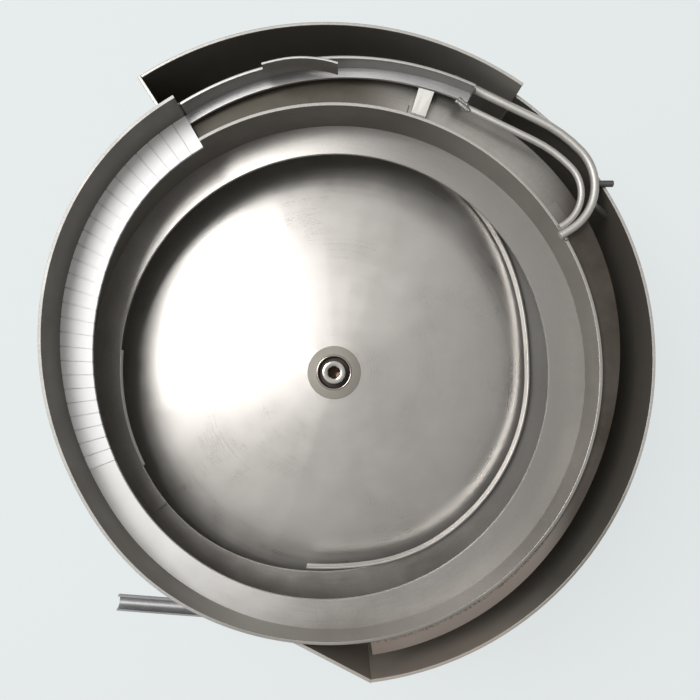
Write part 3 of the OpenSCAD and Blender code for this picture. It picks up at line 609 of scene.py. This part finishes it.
looks = {
    "floor": brushed((0.42, 0.402, 0.378), (0.55, 0.53, 0.503), streaks=0.2, clouds=0.8,
                     specks=0.05, roughness=0.32, bump=0.04),
    "wall": brushed((0.26, 0.247, 0.226), (0.39, 0.375, 0.35), rim=sheetRimHighlight, stains=wallShade),
    "track": brushed((0.37, 0.352, 0.328), (0.53, 0.51, 0.483), stains=trackLightAndShade),
    # painted light: the segment track's steel made near white
    "brightTrack": brushed((0.90, 0.895, 0.895), (0.985, 0.98, 0.98), roughness=0.5,
                           metallic=0.05, clouds=0.5),
    "bright": brushed((0.50, 0.48, 0.455), (0.66, 0.64, 0.61), rim=sheetRimHighlight),
    "ledge": brushed((0.34, 0.324, 0.30), (0.50, 0.48, 0.452), stains=ledgeStains,
                     seam=[161.6 * mm, 163.2 * mm]),
    # the selector's rim colour is a painted highlight
    "selector": brushed((0.24, 0.23, 0.22), (0.38, 0.37, 0.36), rim=(0.50, 0.49, 0.47)),
    "selectorTrack": brushed((0.38, 0.37, 0.365), (0.52, 0.51, 0.51)),
    "bridge": brushed((0.42, 0.41, 0.385), (0.54, 0.525, 0.495)),
    "stud": brushed((0.13, 0.128, 0.12), (0.22, 0.215, 0.205)),
    "strut": brushed((0.34, 0.33, 0.31), (0.46, 0.45, 0.43)),
    "weld": brushed((0.26, 0.25, 0.235), (0.38, 0.365, 0.345), roughness=0.5),
    "guard": brushed((0.17, 0.155, 0.132), (0.26, 0.24, 0.212), rim=sheetRimHighlight, metallic=0.5,
                     stains=guardLight),
    "guardFloor": brushed((0.13, 0.115, 0.095), (0.21, 0.19, 0.165), metallic=0.5,
                          stains=panFloorLight),
    "pan": brushed((0.20, 0.186, 0.164), (0.30, 0.282, 0.256), rim=sheetRimHighlight, metallic=0.5,
                   stains=panShadeAndLight),
    "panFloor": brushed((0.15, 0.138, 0.12), (0.25, 0.235, 0.21), metallic=0.5,
                        stains=panFloorLight),
    "rod": brushed((0.50, 0.48, 0.45), (0.64, 0.62, 0.59), roughness=0.5, metallic=0.6),
    "chute": brushed((0.22, 0.22, 0.225), (0.42, 0.42, 0.425), roughness=0.5, metallic=0.7),
    "washer": brushed((0.46, 0.435, 0.375), (0.60, 0.57, 0.505), streaks=0.8, roughness=0.42,
                      metallic=0.25, rings=[0.0105, 0.0122]),
    "bolt": brushed((0.40, 0.375, 0.35), (0.62, 0.595, 0.565), roughness=0.16, bump=0.05,
                    metallic=1.0, rings=[0.0042, 0.0042]),
    "machined": brushed((0.36, 0.35, 0.34), (0.52, 0.51, 0.50)),
    "lamination": brushed((0.20, 0.195, 0.19), (0.34, 0.33, 0.32)),
    "spring": brushed((0.20, 0.22, 0.26), (0.34, 0.36, 0.40), roughness=0.28),
    "zinc": brushed((0.50, 0.50, 0.47), (0.66, 0.66, 0.64)),
}
finish = {key: steel(key + "Steel", look) for key, look in looks.items()}


# painted, rubber and plastic surfaces: a grained skin over one colour
def skin(name, colour, roughness, grain, grainScale, coat=0.0):
    made, tree, shader = material(name)
    place = tree.add("ShaderNodeTexCoord", None, None, 3)
    clouds = tree.noise(place, 18.0, 4.0, 0.6) - 0.5
    fine = tree.noise(place, grainScale, 3.0, 0.6) - 0.5
    darker = tuple(0.75 * c for c in colour)
    lighter = tuple(min(1.0, 1.2 * c + 0.01) for c in colour)
    tone = clouds * 0.8 + fine * 0.3 + 0.5
    tree.put(tree.blend((*darker, 1), (*lighter, 1), tone), shader.inputs["Base Color"])
    tree.put(clouds * 0.15 + roughness, shader.inputs["Roughness"])
    shader.inputs["Coat Weight"].default_value = coat
    bump = tree.add("ShaderNodeBump", None,
                    {"Strength": grain, "Distance": 0.1 * mm, "Height": fine})
    tree.put(bump, shader.inputs["Normal"])
    return made


finish["paint"] = skin("castingPaint", (0.19, 0.22, 0.25), 0.42, 0.35, 500.0, 0.3)
finish["blackOxide"] = skin("blackOxide", (0.035, 0.034, 0.034), 0.38, 0.15, 900.0)
finish["rubber"] = skin("footRubber", (0.022, 0.022, 0.022), 0.75, 0.4, 800.0)
finish["nylon"] = skin("glandNylon", (0.035, 0.036, 0.04), 0.5, 0.3, 1200.0)
finish["winding"] = skin("varnishedWinding", (0.36, 0.11, 0.03), 0.28, 0.1, 300.0, 0.6)
print("finishes ready:", len(finish))


# bowl: walls, tracks, lips, plates, ledge, selector and blade swept along the helix

def flatStrip(inner, outer, top, thick=gauge):
    return lambda a: (inner(a), outer(a), top(a) - thick, top(a))


# lips along the lower track: the first one starts low and is drawn inwards at its end
lips = {"height": 6 * mm, "startShare": 0.4, "grows": 30, "draw": 3 * mm, "drawn": (148, 188),
        "leftHeight": 2 * mm, "leftSheet": 1.5 * mm}


def trackLip(a):
    edge = lowerInner(a) - ease(a, *lips["drawn"]) * lips["draw"]
    share = ease(a, bowl["trackStart"], bowl["trackStart"] + lips["grows"])
    share = share * (1 - lips["startShare"]) + lips["startShare"]
    bottom = trackZ(a) - gauge
    return edge - gauge, edge, bottom, trackZ(a) + share * lips["height"]


def leftLip(a):
    edge = lowerInner(a)
    bottom = trackZ(a) - gauge
    return edge - lips["leftSheet"], edge, bottom, trackZ(a) + lips["leftHeight"]


def spiralWall(a):
    return wallRadius(a), wallRadius(a) + gauge, wallBottom(a), wallTop(a)


def underBand(a):
    return bowl["radius"], shellOuter, trackZ(turn + wallLeaves) - gauge, wallBottom(a)


# two small plates: one laid on the track, one on the ledge
plates = {"lapWidth": 11 * mm, "lapSheet": 1.5 * mm, "patchWidth": 8 * mm, "patchSheet": 1 * mm}


def lapPlate(a):
    inner = lowerInner(a)
    return inner, inner + plates["lapWidth"], trackZ(a), trackZ(a) + plates["lapSheet"]


def ledgePatch(a):
    outer = shellOuter + plates["patchWidth"]
    return shellOuter, outer, ledgeZ(a), ledgeZ(a) + plates["patchSheet"]


def selectorSheet(a):
    wall = selectorWall(a)
    return wall, wall + gauge, ledgeZ(a - 2 * turn), bowl["rim"] + selector["height"]


def wiperBlade(a):
    inner = bladeRadius(a) - selector["bladeSheet"]
    low = selectorZ(a) + selector["bladeLow"]
    return inner, bladeRadius(a), low, bowl["rim"] + selector["bladeHeight"]


def track(a):
    onUpper = a > turn
    inner = lowerInner(a) + onUpper * (upperInner(a) - lowerInner(a))
    outer = onUpper * (wallRadius(a - turn) - bowl["radius"]) + bowl["radius"]
    return inner, outer, trackZ(a) - gauge, trackZ(a)


def upperTrack(a):
    return upperInner(a), wallRadius(a - turn), trackZ(a) - gauge, trackZ(a)


returnLedge = flatStrip(lambda a: shellOuter, ledgeOuter, ledgeZ)
selectorTrack = flatStrip(lambda a: selectorWall(a) - selector["width"], selectorWall, selectorZ)

# nodes, start and end angle, law, finish, material slot, and in mm the rounding of the inner
# and the outer top edge
sheets = [
    [["spiral_wall"], -30, 330, spiralWall, "wall", "wall_sheet", 0.25, 0.25],
    [["under_band"], 242, 330, underBand, "wall", "wall_sheet", 0, 0],
    [["lower_track", "upper_track"], 14, 608, track, "track", "track_sheet", 0.3, 0],
    [["track_lip"], 18, 188, trackLip, "bright", "bright_sheet", 0.5, 0.5],
    [["left_track_lip"], 244, 276, leftLip, "bright", "bright_sheet", 0.4, 0.4],
    [["lap_plate"], 232, 239, lapPlate, "track", "track_sheet", 0.3, 0.3],
    [["return_ledge"], -31, 172, returnLedge, "ledge", "ledge_sheet", 0, 0.3],
    [["ledge_patch"], 52.5, 58.5, ledgePatch, "ledge", "ledge_sheet", 0, 0.25],
    [["selector_track"], bowl["trackEnd"], selector["end"], selectorTrack, "selectorTrack",
     "bright_sheet", 0.2, 0],
    [["selector_wall"], selector["wallStart"], selector["end"], selectorSheet, "selector",
     "bright_sheet", 0.5, 0.5],
    [["wiper_blade"], selector["bladeStart"], selector["bladeEnd"], wiperBlade, "selector",
     "bright_sheet", 0.35, 0.35],
]
for nodes, start, end, law, look, slot, innerRound, outerRound in sheets:
    piece = sweptSheet(nodes[0] + "_sheet", start, end, law, finish[look], innerRound, outerRound)
    if nodes[0] == "return_ledge":
        piece = carved(piece, slits["ledge"])
    finished(piece, "bowl", slot, *nodes)
print("helical sheets ready:", len(sheets))


# segment track: cut across at even steps, with a small notch at each cut's inner end

segments = {"start": 608.0, "end": 690.0, "count": 27, "cutWidth": 0.17, "cutDepth": 1.4 * mm,
            "notch": 0.5 * mm, "sheerness": 0.01}


def segmentTrack():
    sizes = {"Segments": segments["count"], "Cut depth": segments["cutDepth"],
             "Cut width": segments["cutWidth"], "Notch": segments["notch"]}
    pitch = (segments["end"] - segments["start"]) / segments["count"]

    def build(tree, given):
        # four stops to a segment: the cut's two sides, then the land's two ends
        stops = given["Segments"] * 4.0
        box = tree.add("GeometryNodeMeshCube", None, {"Size": (1, 1, 1), "Vertices X": stops})
        along, across, up = tree.parts(tree.add("GeometryNodeInputPosition"))
        stop = ((along + 0.5) * (stops - 1.0)).math("ROUND")
        segment = (stop / 4.0 + 0.01).math("FLOOR")
        phase = stop - segment * 4.0
        onLand = phase > 1.5
        second = (phase > 0.5) * (phase < 1.5)
        last = phase > 2.5
        landStart = given["Cut width"] + segments["sheerness"]
        offset = second * given["Cut width"] + onLand * landStart
        offset = offset + last * (pitch - given["Cut width"] - 2 * segments["sheerness"])
        a = segment * pitch + offset + segments["start"]
        inCut = 1 - onLand
        inner, outer, bottom, top = upperTrack(a)
        inner = inner + inCut * given["Notch"]
        top = top - inCut * given["Cut depth"]
        radius = inner + (across + 0.5) * (outer - inner)
        height = bottom + (up + 0.5) * (top - bottom)
        place = clockPlace(tree, a, radius, height)
        return tree.add("GeometryNodeSetPosition", None, {"Geometry": box, "Position": place})

    return smoothed(grown("segment_track_cut", sizes, build, finish["brightTrack"]), 20.0)


finished(segmentTrack(), "bowl", "bright_track", "segment_track")
print("segment track ready")


# clamp in the middle of the bowl, screws, feet and gland

clamp = {"boltHead": 8.0, "boltHeight": 10.0, "boltSocket": 8.0, "boltShank": 5.0,
         "seat": 3 * mm}
washerRings = [
    [5.5, 0], [18.4, 0], [18.4, 0.7], [18.25, 1.05], [18.0, 1.3], [12.45, 6.5], [12.3, 6.6],
    [12.15, 6.8], [11.9, 6.95], [11.5, 7.0], [11.0, 6.9], [10.65, 6.6], [10.4, 6.1],
    [10.4, 3.0], [5.5, 3.0]]


# copies of one turned mesh that stand for a node
def turnedNode(node, body, slot, look, mesh, spots):
    finished(placed(node + "_turned", mesh, spots, finish[look]), body, slot, node)


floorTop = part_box("cone_washer")[0].z
boltUnder = floorTop + clamp["seat"]
upward = (0, 0, 1)
turnedNode("cone_washer", "bowl", "washer_steel", "washer", turned("washerOne", washerRings, 96),
           [[(0, 0, floorTop), upward]])
boltLength = (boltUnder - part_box("centre_bolt")[0].z) / mm
bolt = capScrew("boltOne", clamp["boltHead"], clamp["boltHeight"], clamp["boltSocket"],
                clamp["boltShank"], boltLength)
turnedNode("centre_bolt", "bowl", "bolt_steel", "bolt", bolt, [[(0, 0, boltUnder), upward]])

packs = {"count": 3, "first": 30.0, "radius": 86 * mm, "tilt": 20.0, "low": 60 * mm,
         "high": 126 * mm, "leafWidth": 32 * mm, "leafThickness": 2.5 * mm, "spacer": 2 * mm,
         "plate": 4 * mm, "boltPitch": 18 * mm}
clampPitch = (packs["high"] - packs["low"]) / math.cos(math.radians(packs["tilt"]))
stackThickness = 2 * packs["leafThickness"] + packs["spacer"]


def packFrame(number):
    bearing = math.radians(packs["first"] + number * turn / packs["count"])
    middle = (packs["low"] + packs["high"]) / 2
    return (Matrix.Rotation(-bearing, 4, "Z") @ Matrix.Translation((0, packs["radius"], middle))
            @ Matrix.Rotation(math.radians(packs["tilt"]), 4, "Y"))


def clampSpots(side):
    spots = []
    outside = stackThickness / 2 + packs["plate"]
    for number in range(packs["count"]):
        pack = packFrame(number)
        for y in (-packs["boltPitch"] / 2, packs["boltPitch"] / 2):
            place = Vector((side * outside, y, side * clampPitch / 2))
            spots.append([pack @ place, pack.to_3x3() @ Vector((side, 0, 0))])
    return spots


# two upright screws, to either side of the middle
def pairSpots(reach, height):
    return [[(x, 0, height), upward] for x in (-reach, reach)]


# node, body, capScrew's sizes, and where the heads stand
screws = [
    ["upper_spring_bolts", "bowl", (5, 6, 5, 3, 27), clampSpots(1)],
    ["lower_spring_bolts", "base", (5, 6, 5, 3, 27), clampSpots(-1)],
    ["armature_screws", "bowl", (6.5, 8, 6, 4, 30), pairSpots(24 * mm, 158 * mm)],
    ["plinth_screws", "base", (6.5, 8, 6, 4, 20), pairSpots(41 * mm, 54 * mm)],
]
for node, body, sizes, spots in screws:
    turnedNode(node, body, "black_screws", "blackOxide", capScrew(node + "One", *sizes), spots)

footRings = [
    [0, 8], [3.4, 8], [3.4, 0.5], [3.9, 0], [16.6, 0], [17.6, 0.5], [18, 1.6], [18, 5.6],
    [17.7, 6.6], [16.4, 9.6], [16, 11], [16, 13], [16.4, 14.4], [17.7, 17.4], [18, 18.4],
    [18, 22.4], [17.6, 23.5], [16.6, 24], [0, 24]]
feet = {"count": 3, "first": 90, "radius": 92 * mm}
footSpots = []
for number in range(feet["count"]):
    bearing = math.radians(feet["first"] + number * turn / feet["count"])
    place = (feet["radius"] * math.sin(bearing), feet["radius"] * math.cos(bearing), 0)
    footSpots.append([place, upward])
turnedNode("rubber_feet", "base", "rubber", "rubber", turned("footOne", footRings), footSpots)

glandRings = [
    [3.5, 10], [6, 10], [6, 0], [8.45, 0, "hex"], [8.45, -4.4, "hex"], [7.9, -5], [7.4, -5],
    [7.4, -5.6], [7.95, -5.6, "ridged"], [7.95, -10.6, "ridged"], [7.0, -12.4], [6.2, -14.2],
    [5.6, -14.9], [4.6, -14.95], [4.0, -14.4], [3.5, -13.2]]
glandPlace = (0, -115 * mm, 35 * mm)
turnedNode("cable_gland", "base", "gland_plastic", "nylon", turned("glandOne", glandRings),
           [[glandPlace, (0, 1, 0)]])
print("turned pieces ready")


# leaf springs: each leaf runs straight between the base's clamp and the bowl's, in many stations

leaf = {"stations": 36, "corner": 0.35 * mm, "over": 12 * mm}


def leafSprings():
    shape = bmesh.new()
    half = packs["leafWidth"] / 2
    corner = leaf["corner"]
    length = clampPitch + 2 * leaf["over"]
    for number in range(packs["count"]):
        pack = packFrame(number)
        for near in (-stackThickness / 2, packs["spacer"] / 2):
            far = near + packs["leafThickness"]
            outline = [(near + corner, -half), (far - corner, -half), (far, -half + corner),
                       (far, half - corner), (far - corner, half), (near + corner, half),
                       (near, half - corner), (near, -half + corner)]
            loops = []
            for station in range(leaf["stations"] + 1):
                z = length * (station / leaf["stations"] - 0.5)
                loops.append([shape.verts.new(pack @ Vector((x, y, z))) for x, y in outline])
            for lower, upper in zip(loops, loops[1:]):
                for side in range(len(outline)):
                    following = (side + 1) % len(outline)
                    shape.faces.new([lower[side], lower[following], upper[following], upper[side]])
            shape.faces.new(loops[0])
            shape.faces.new(loops[-1])
    bmesh.ops.recalc_face_normals(shape, faces=shape.faces)
    mesh = meshOf("leaf_springs_bent", shape)
    mesh.materials.append(finish["spring"])
    return smoothed(linked("leaf_springs_bent", mesh))


springs = leafSprings()
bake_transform(springs)
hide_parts("leaf_springs")
print("leaf springs ready")


# magnet: stacked plates and a wound coil

magnet = {"width": 66.0, "depth": 36.0, "plates": 24, "gap": 0.1, "jitter": 0.12 * mm, "seed": 4,
          "armInner": 24.0, "poleHalf": 9.0, "yoke": 12.0, "wire": 0.95 * mm, "turns": 15,
          "coilCorner": 7 * mm, "coilBulk": 12 * mm, "coilPlay": (0.6 * mm, 0.4 * mm)}
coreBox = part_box("magnet_core")
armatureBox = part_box("armature")
low, high = coreBox[0].z / mm, coreBox[1].z / mm
halfCore = magnet["width"] / 2 - magnet["jitter"] / mm
arm, pole, window = magnet["armInner"], magnet["poleHalf"], low + magnet["yoke"]
coreOutline = [(-halfCore, low), (halfCore, low), (halfCore, high), (arm, high), (arm, window),
               (pole, window), (pole, high), (-pole, high), (-pole, window), (-arm, window),
               (-arm, high), (-halfCore, high)]
barLow, barHigh = armatureBox[0].z / mm, armatureBox[1].z / mm
barOutline = [(-halfCore, barLow), (halfCore, barLow), (halfCore, barHigh), (-halfCore, barHigh)]


# plates of one outline in the XZ plane, stacked along Y with a little play between them
def platesStack(name, outline, body, node):
    pitch = magnet["depth"] / magnet["plates"]
    thick = (pitch - magnet["gap"]) * mm
    shape = bmesh.new()
    corners = [shape.verts.new((x * mm, 0, z * mm)) for x, z in outline]
    shape.faces.new(corners)
    drawn = bmesh.ops.extrude_face_region(shape, geom=shape.faces[:])
    moved = [item for item in drawn["geom"] if isinstance(item, bmesh.types.BMVert)]
    bmesh.ops.translate(shape, verts=moved, vec=(0, thick, 0))
    bmesh.ops.recalc_face_normals(shape, faces=shape.faces)
    source = linked(name + "Plate", meshOf(name + "Plate", shape))
    sizes = {"Plates": magnet["plates"], "Play": magnet["jitter"], "Seed": magnet["seed"]}

    def build(tree, given):
        start = (0, -magnet["depth"] * mm / 2 + magnet["gap"] * mm / 2, 0)
        row = tree.add("GeometryNodeMeshLine", None,
                       {"Count": given["Plates"], "Offset": (0, pitch * mm, 0),
                        "Start Location": start})
        shift = tree.add("FunctionNodeRandomValue", {"data_type": "FLOAT"},
                         {"Min": -given["Play"], "Max": given["Play"], "Seed": given["Seed"]}, 1)
        row = tree.add("GeometryNodeSetPosition", None,
                       {"Geometry": row, "Offset": tree.vector(shift, 0.0, 0.0)})
        one = tree.add("GeometryNodeObjectInfo", None, {"Object": source}, "Geometry")
        return tree.add("GeometryNodeInstanceOnPoints", None, {"Points": row, "Instance": one})

    piece = grown(name, sizes, build, finish["lamination"])
    bpy.data.objects.remove(source)
    finished(piece, body, "laminated_steel", node)


platesStack("magnet_core_plates", coreOutline, "base", "magnet_core")
platesStack("armature_plates", barOutline, "bowl", "armature")


# wire turns lying on each other round a solid body of winding
def woundCoil():
    lower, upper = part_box("magnet_coil")
    width, depth = upper.x - lower.x, upper.y - lower.y
    height = upper.z - lower.z
    bulk = magnet["coilBulk"] - magnet["wire"]
    playX, playY = magnet["coilPlay"]
    sizes = {"Turns": magnet["turns"], "Wire": magnet["wire"], "Corner": magnet["coilCorner"]}
    pitch = (height - 2 * magnet["wire"]) / (magnet["turns"] - 1)

    def loop(tree, given, inset):
        path = tree.add("GeometryNodeCurvePrimitiveQuadrilateral", None,
                        {"Width": width - 2 * inset, "Height": depth - 2 * inset})
        return tree.add("GeometryNodeFilletCurve", {"mode": "POLY"},
                        {"Curve": path, "Radius": given["Corner"], "Count": 6})

    def build(tree, given):
        section = tree.add("GeometryNodeCurvePrimitiveCircle", None,
                           {"Resolution": 10, "Radius": given["Wire"]})
        wire = tree.add("GeometryNodeCurveToMesh", None,
                        {"Curve": loop(tree, given, magnet["wire"]), "Profile Curve": section})
        row = tree.add("GeometryNodeMeshLine", None,
                       {"Count": given["Turns"], "Offset": (0, 0, pitch),
                        "Start Location": (0, 0, lower.z + magnet["wire"])})
        turns = tree.add("GeometryNodeInstanceOnPoints", None, {"Points": row, "Instance": wire})
        block = tree.add("GeometryNodeCurvePrimitiveQuadrilateral", None,
                         {"Width": bulk - playX, "Height": height - playY})
        inset = magnet["wire"] + bulk / 2
        core = tree.add("GeometryNodeCurveToMesh", None,
                        {"Curve": loop(tree, given, inset), "Profile Curve": block})
        core = tree.add("GeometryNodeTransform", None,
                        {"Geometry": core, "Translation": (0, 0, (lower.z + upper.z) / 2)})
        join = tree.nodeTree.nodes.new("GeometryNodeJoinGeometry")
        for part in (core, turns):
            tree.put(part, join.inputs[0])
        return Field(tree, join.outputs[0])

    return smoothed(grown("magnet_coil_wound", sizes, build, finish["winding"]), 50.0)


finished(woundCoil(), "base", "coil_winding", "magnet_coil")
print("magnet ready")


# pieces that keep the shape of their solids: finish, material slot, and each node with the
# rounding of its edges in mm

keptNodes = [
    ["floor", "floor_sheet", {"bowl_floor": 0.3}],
    ["wall", "wall_sheet", {"bowl_shell": 0, "window_panel": 0}],
    ["bridge", "bright_sheet", {"bridge_plate": 0.2}],
    ["guard", "pan_sheet", {"guard_wall": 0.5, "guard_end": 0.4}],
    ["guardFloor", "pan_sheet", {"guard_floor": 0.2}],
    ["pan", "pan_sheet", {"pan_wall": 0.5, "deflector": 0.4, "chute_bracket": 0.3}],
    ["panFloor", "pan_sheet", {"pan_floor": 0.2}],
    ["chute", "chute_sheet", {"discharge_chute": 0.3}],
    ["rod", "rod_steel", {"rail_outer_rod": 0.5, "rail_inner_rod": 0.4}],
    ["stud", "rod_steel", {"rail_stud": 0.5}],
    ["strut", "rod_steel", {"rail_strut": 0.3}],
    ["machined", "machined_steel", {"centre_hub": 0.5, "bowl_seat": 0.5,
     "upper_clamp_plates": 0.4, "upper_spacers": 0.2, "lower_spacers": 0.2,
     "lower_clamp_plates": 0.4, "magnet_plinth": 0.6}],
    ["paint", "painted_casting", {"top_frame": 1.5, "base_casting": 1.5}],
    ["zinc", "zinc_steel", {"foot_bolts": 0.3}],
]
keptPieces = {}
for look, slot, roundings in keptNodes:
    for node, rounding in roundings.items():
        keptPieces[node] = dressed(node, finish[look], slot, rounding * mm)

# the cone of the floor runs on up to the washer: its highest corners, found between two
# radii, move in to a third
cone = {"within": 0.05 * mm, "near": 19 * mm, "far": 25 * mm, "meets": 18.45 * mm}
for corner in keptPieces["bowl_floor"].data.vertices:
    reach = math.hypot(corner.co.x, corner.co.y)
    if corner.co.z > floorTop - cone["within"] and cone["near"] < reach < cone["far"]:
        corner.co.x *= cone["meets"] / reach
        corner.co.y *= cone["meets"] / reach
print("dressed nodes ready")


# welds: rows of small overlapping beads

welds = {"bead": 1.0 * mm, "step": 0.75, "flatness": 0.55, "narrowness": 0.9,
         "uneven": (0.8, 1.15), "seed": 11}
# each run from one [clock angle, radius, height] to another, and its bead's size
weldRuns = [
    [[24.7, 177.0, 254.6], [27.4, 175.2, 254.4], 1.7],
    [[25.0, 178.6, 254.8], [26.6, 177.6, 254.6], 1.3],
    [[26.3, 184.9, 255.6], [26.6, 187.4, 254.6], 1.3],
    [[59.7, 160.6, 250.6], [60.3, 160.9, 250.9], 1.4],
    [[57.7, 161.0, 250.7], [58.5, 161.2, 250.7], 1.1],
    [[-29.9, 179.2, 250.6], [-29.9, 179.2, 264.5], 0.8],
    [[16.9, 162.2, 250.2], [19.8, 162.2, 250.2], 0.6],
    [[16.9, 176.6, 250.8], [19.8, 176.9, 251.0], 0.6],
    [[170.5, 162.6, 249.7], [170.9, 162.6, 249.7], 1.2],
    [[173.2, 188.4, 176], [173.2, 188.4, 245], 0.8],
    [[190.1, 162.4, 176], [190.1, 162.4, 240], 0.8],
    [[-33.4, 181.4, 249], [-33.4, 181.4, 263], 0.8],
    [[195.6, 162.2, 183.0], [201.4, 162.2, 183.0], 0.8],
    [[33.6, 195.5, 176], [33.6, 195.5, 245], 0.7],
    [[232.0, 141.6, 200.3], [232.0, 152.6, 200.3], 0.6],
]
# stitches under the ledge, stitches low on the shell, and small beads beside the ledge
underLedge = {"bearings": range(-24, 168, 16), "length": 4.0, "radius": 162.3, "below": 0.2,
              "bead": 1.1}
lowDown = {"bearings": range(-24, 172, 14), "length": 4, "radius": 162.2, "height": 171.8,
           "bead": 1.0}
besideLedge = {"bearings": (145, 148.4, 151, 153.2, 156.5, 160, 162.4), "length": 1.1,
               "radius": 162.3, "height": 249.3, "rise": 0.1, "bead": 0.45}


def addStitch(row, bearing, height, rise=0.0):
    start = [bearing, row["radius"], height]
    end = [bearing + row["length"], row["radius"], height + rise]
    weldRuns.append([start, end, row["bead"]])


for bearing in underLedge["bearings"]:
    height = (ledgeZ(bearing) - gauge) / mm - underLedge["below"]
    addStitch(underLedge, bearing, height)
for bearing in lowDown["bearings"]:
    addStitch(lowDown, bearing, lowDown["height"])
for bearing in besideLedge["bearings"]:
    addStitch(besideLedge, bearing, besideLedge["height"], besideLedge["rise"])


def weldBeads():
    places, sizesOfBeads = [], []
    for start, end, size in weldRuns:
        sweep = math.radians(end[0] - start[0]) * start[1]
        length = math.sqrt(sweep ** 2 + (end[1] - start[1]) ** 2 + (end[2] - start[2]) ** 2)
        count = max(2, round(length / (welds["step"] * size)) + 1)
        for stop in range(count):
            a, radius, height = [low + (high - low) * stop / (count - 1)
                                 for low, high in zip(start, end)]
            bearing = math.radians(a)
            x, y = radius * math.sin(bearing), radius * math.cos(bearing)
            places.append((x * mm, y * mm, height * mm))
            sizesOfBeads.append((size, size, size))
    sizes = {"Bead": welds["bead"], "Flatness": welds["flatness"], "Seed": welds["seed"]}
    smallest, largest = welds["uneven"]

    def build(tree, given):
        ball = tree.add("GeometryNodeMeshIcoSphere", None,
                        {"Radius": given["Bead"], "Subdivisions": 2})
        grade = tree.parts(aimOfPoints(tree))[0]
        uneven = tree.add("FunctionNodeRandomValue", {"data_type": "FLOAT"},
                          {"Min": smallest, "Max": largest, "Seed": given["Seed"]}, 1) * grade
        spin = tree.add("FunctionNodeRandomValue", {"data_type": "FLOAT"},
                        {"Min": 0.0, "Max": math.tau, "Seed": given["Seed"]}, 1)
        scale = tree.vector(uneven, uneven * welds["narrowness"], uneven * given["Flatness"])
        return tree.add("GeometryNodeInstanceOnPoints", None,
                        {"Points": given["Points"], "Instance": ball, "Scale": scale,
                         "Rotation": tree.vector(0.0, 0.0, spin)})

    return smoothed(grown("bowl_welds", sizes, build, finish["weld"], places, sizesOfBeads), 60.0)


finished(weldBeads(), "bowl", "bright_sheet")
print("welds ready")


# floor, light and camera

stage = {"floor": (0.807, 0.847, 0.855), "shadow": 0.22, "skyLow": 0.20, "skyUp": 0.18,
         "skyLobe": 0.52, "lobe": (-0.42, 0.31, 0.85), "lobeEdges": (0.52, 0.98),
         "lampPower": 10.0, "lampPlace": (-0.5, 0.26, 1.4), "lampSize": 0.5, "lampGloss": 0.4,
         "lampAim": (0, 0, 0.2)}


def paleFloor():
    made, tree, shader = material("paleFloor")
    nodes = made.node_tree.nodes
    nodes.remove(shader)
    glow = tree.add("ShaderNodeEmission", None,
                    {"Color": (*stage["floor"], 1), "Strength": 1 - stage["shadow"]})
    lit = tree.add("ShaderNodeBsdfDiffuse", None,
                   {"Color": (*(stage["shadow"] * c for c in stage["floor"]), 1)})
    seen = tree.add("ShaderNodeAddShader", None, {0: glow, 1: lit})
    plain = tree.add("ShaderNodeBsdfDiffuse", None, {"Color": (*stage["floor"], 1)})
    path = nodes.new("ShaderNodeLightPath")
    rays = [Field(tree, path.outputs[ray])
            for ray in ("Is Camera Ray", "Is Glossy Ray", "Is Transmission Ray")]
    shown = larger(larger(rays[0], rays[1]), rays[2])
    mixed = tree.add("ShaderNodeMixShader", None, {0: shown, 1: plain, 2: seen})
    tree.put(mixed, nodes["Material Output"].inputs["Surface"])
    return made


shape = bmesh.new()
bmesh.ops.create_grid(shape, x_segments=8, y_segments=8, size=3.0)
floorMesh = meshOf("table", shape)
floorMesh.materials.append(paleFloor())
linked("table", floorMesh)


def sky():
    world = bpy.data.worlds.new("studio")
    world.use_nodes = True
    bpy.context.scene.world = world
    tree = Tree(world.node_tree)
    x, y, z = tree.parts(tree.add("ShaderNodeTexCoord", None, None, 0))
    towards = x * stage["lobe"][0] + y * stage["lobe"][1] + z * stage["lobe"][2]
    lobe = ease(towards, *stage["lobeEdges"]) * stage["skyLobe"]
    level = ease(z, 0.0, 1.0) * stage["skyUp"] + lobe + stage["skyLow"]
    grey = tree.add("ShaderNodeCombineColor", None, {0: level, 1: level * 0.99, 2: level * 0.975})
    lit = tree.add("ShaderNodeBackground", None, {"Color": grey, "Strength": 1.0})
    seen = tree.add("ShaderNodeBackground", None, {"Color": (*stage["floor"], 1), "Strength": 1.0})
    camera = tree.add("ShaderNodeLightPath", None, None, 0)
    mixed = tree.add("ShaderNodeMixShader", None, {0: camera, 1: lit, 2: seen})
    tree.put(mixed, world.node_tree.nodes["World Output"].inputs["Surface"])


sky()
lampData = bpy.data.lights.new("window", "AREA")
lampData.shape = "SQUARE"
lampData.size = stage["lampSize"]
lampData.energy = stage["lampPower"]
lampData.specular_factor = stage["lampGloss"]
lamp = linked("window", lampData)
lamp.location = stage["lampPlace"]
towardsAim = Vector(stage["lampAim"]) - lamp.location
lamp.rotation_euler = towardsAim.to_track_quat("-Z", "Y").to_euler()

view = {"place": (4.8 * mm, -2.4 * mm, 700 * mm), "focal": 750, "middle": (341, 376), "size": 700}
cameraData = bpy.data.cameras.new("camera")
cameraData.sensor_width = 36.0
cameraData.lens = view["focal"] / view["size"] * cameraData.sensor_width
cameraData.shift_x = 0.5 - view["middle"][0] / view["size"]
cameraData.shift_y = view["middle"][1] / view["size"] - 0.5
camera = linked("camera", cameraData)
camera.location = view["place"]
bpy.context.scene.camera = camera
bpy.context.scene.view_settings.view_transform = "Standard"

print("scene ready")
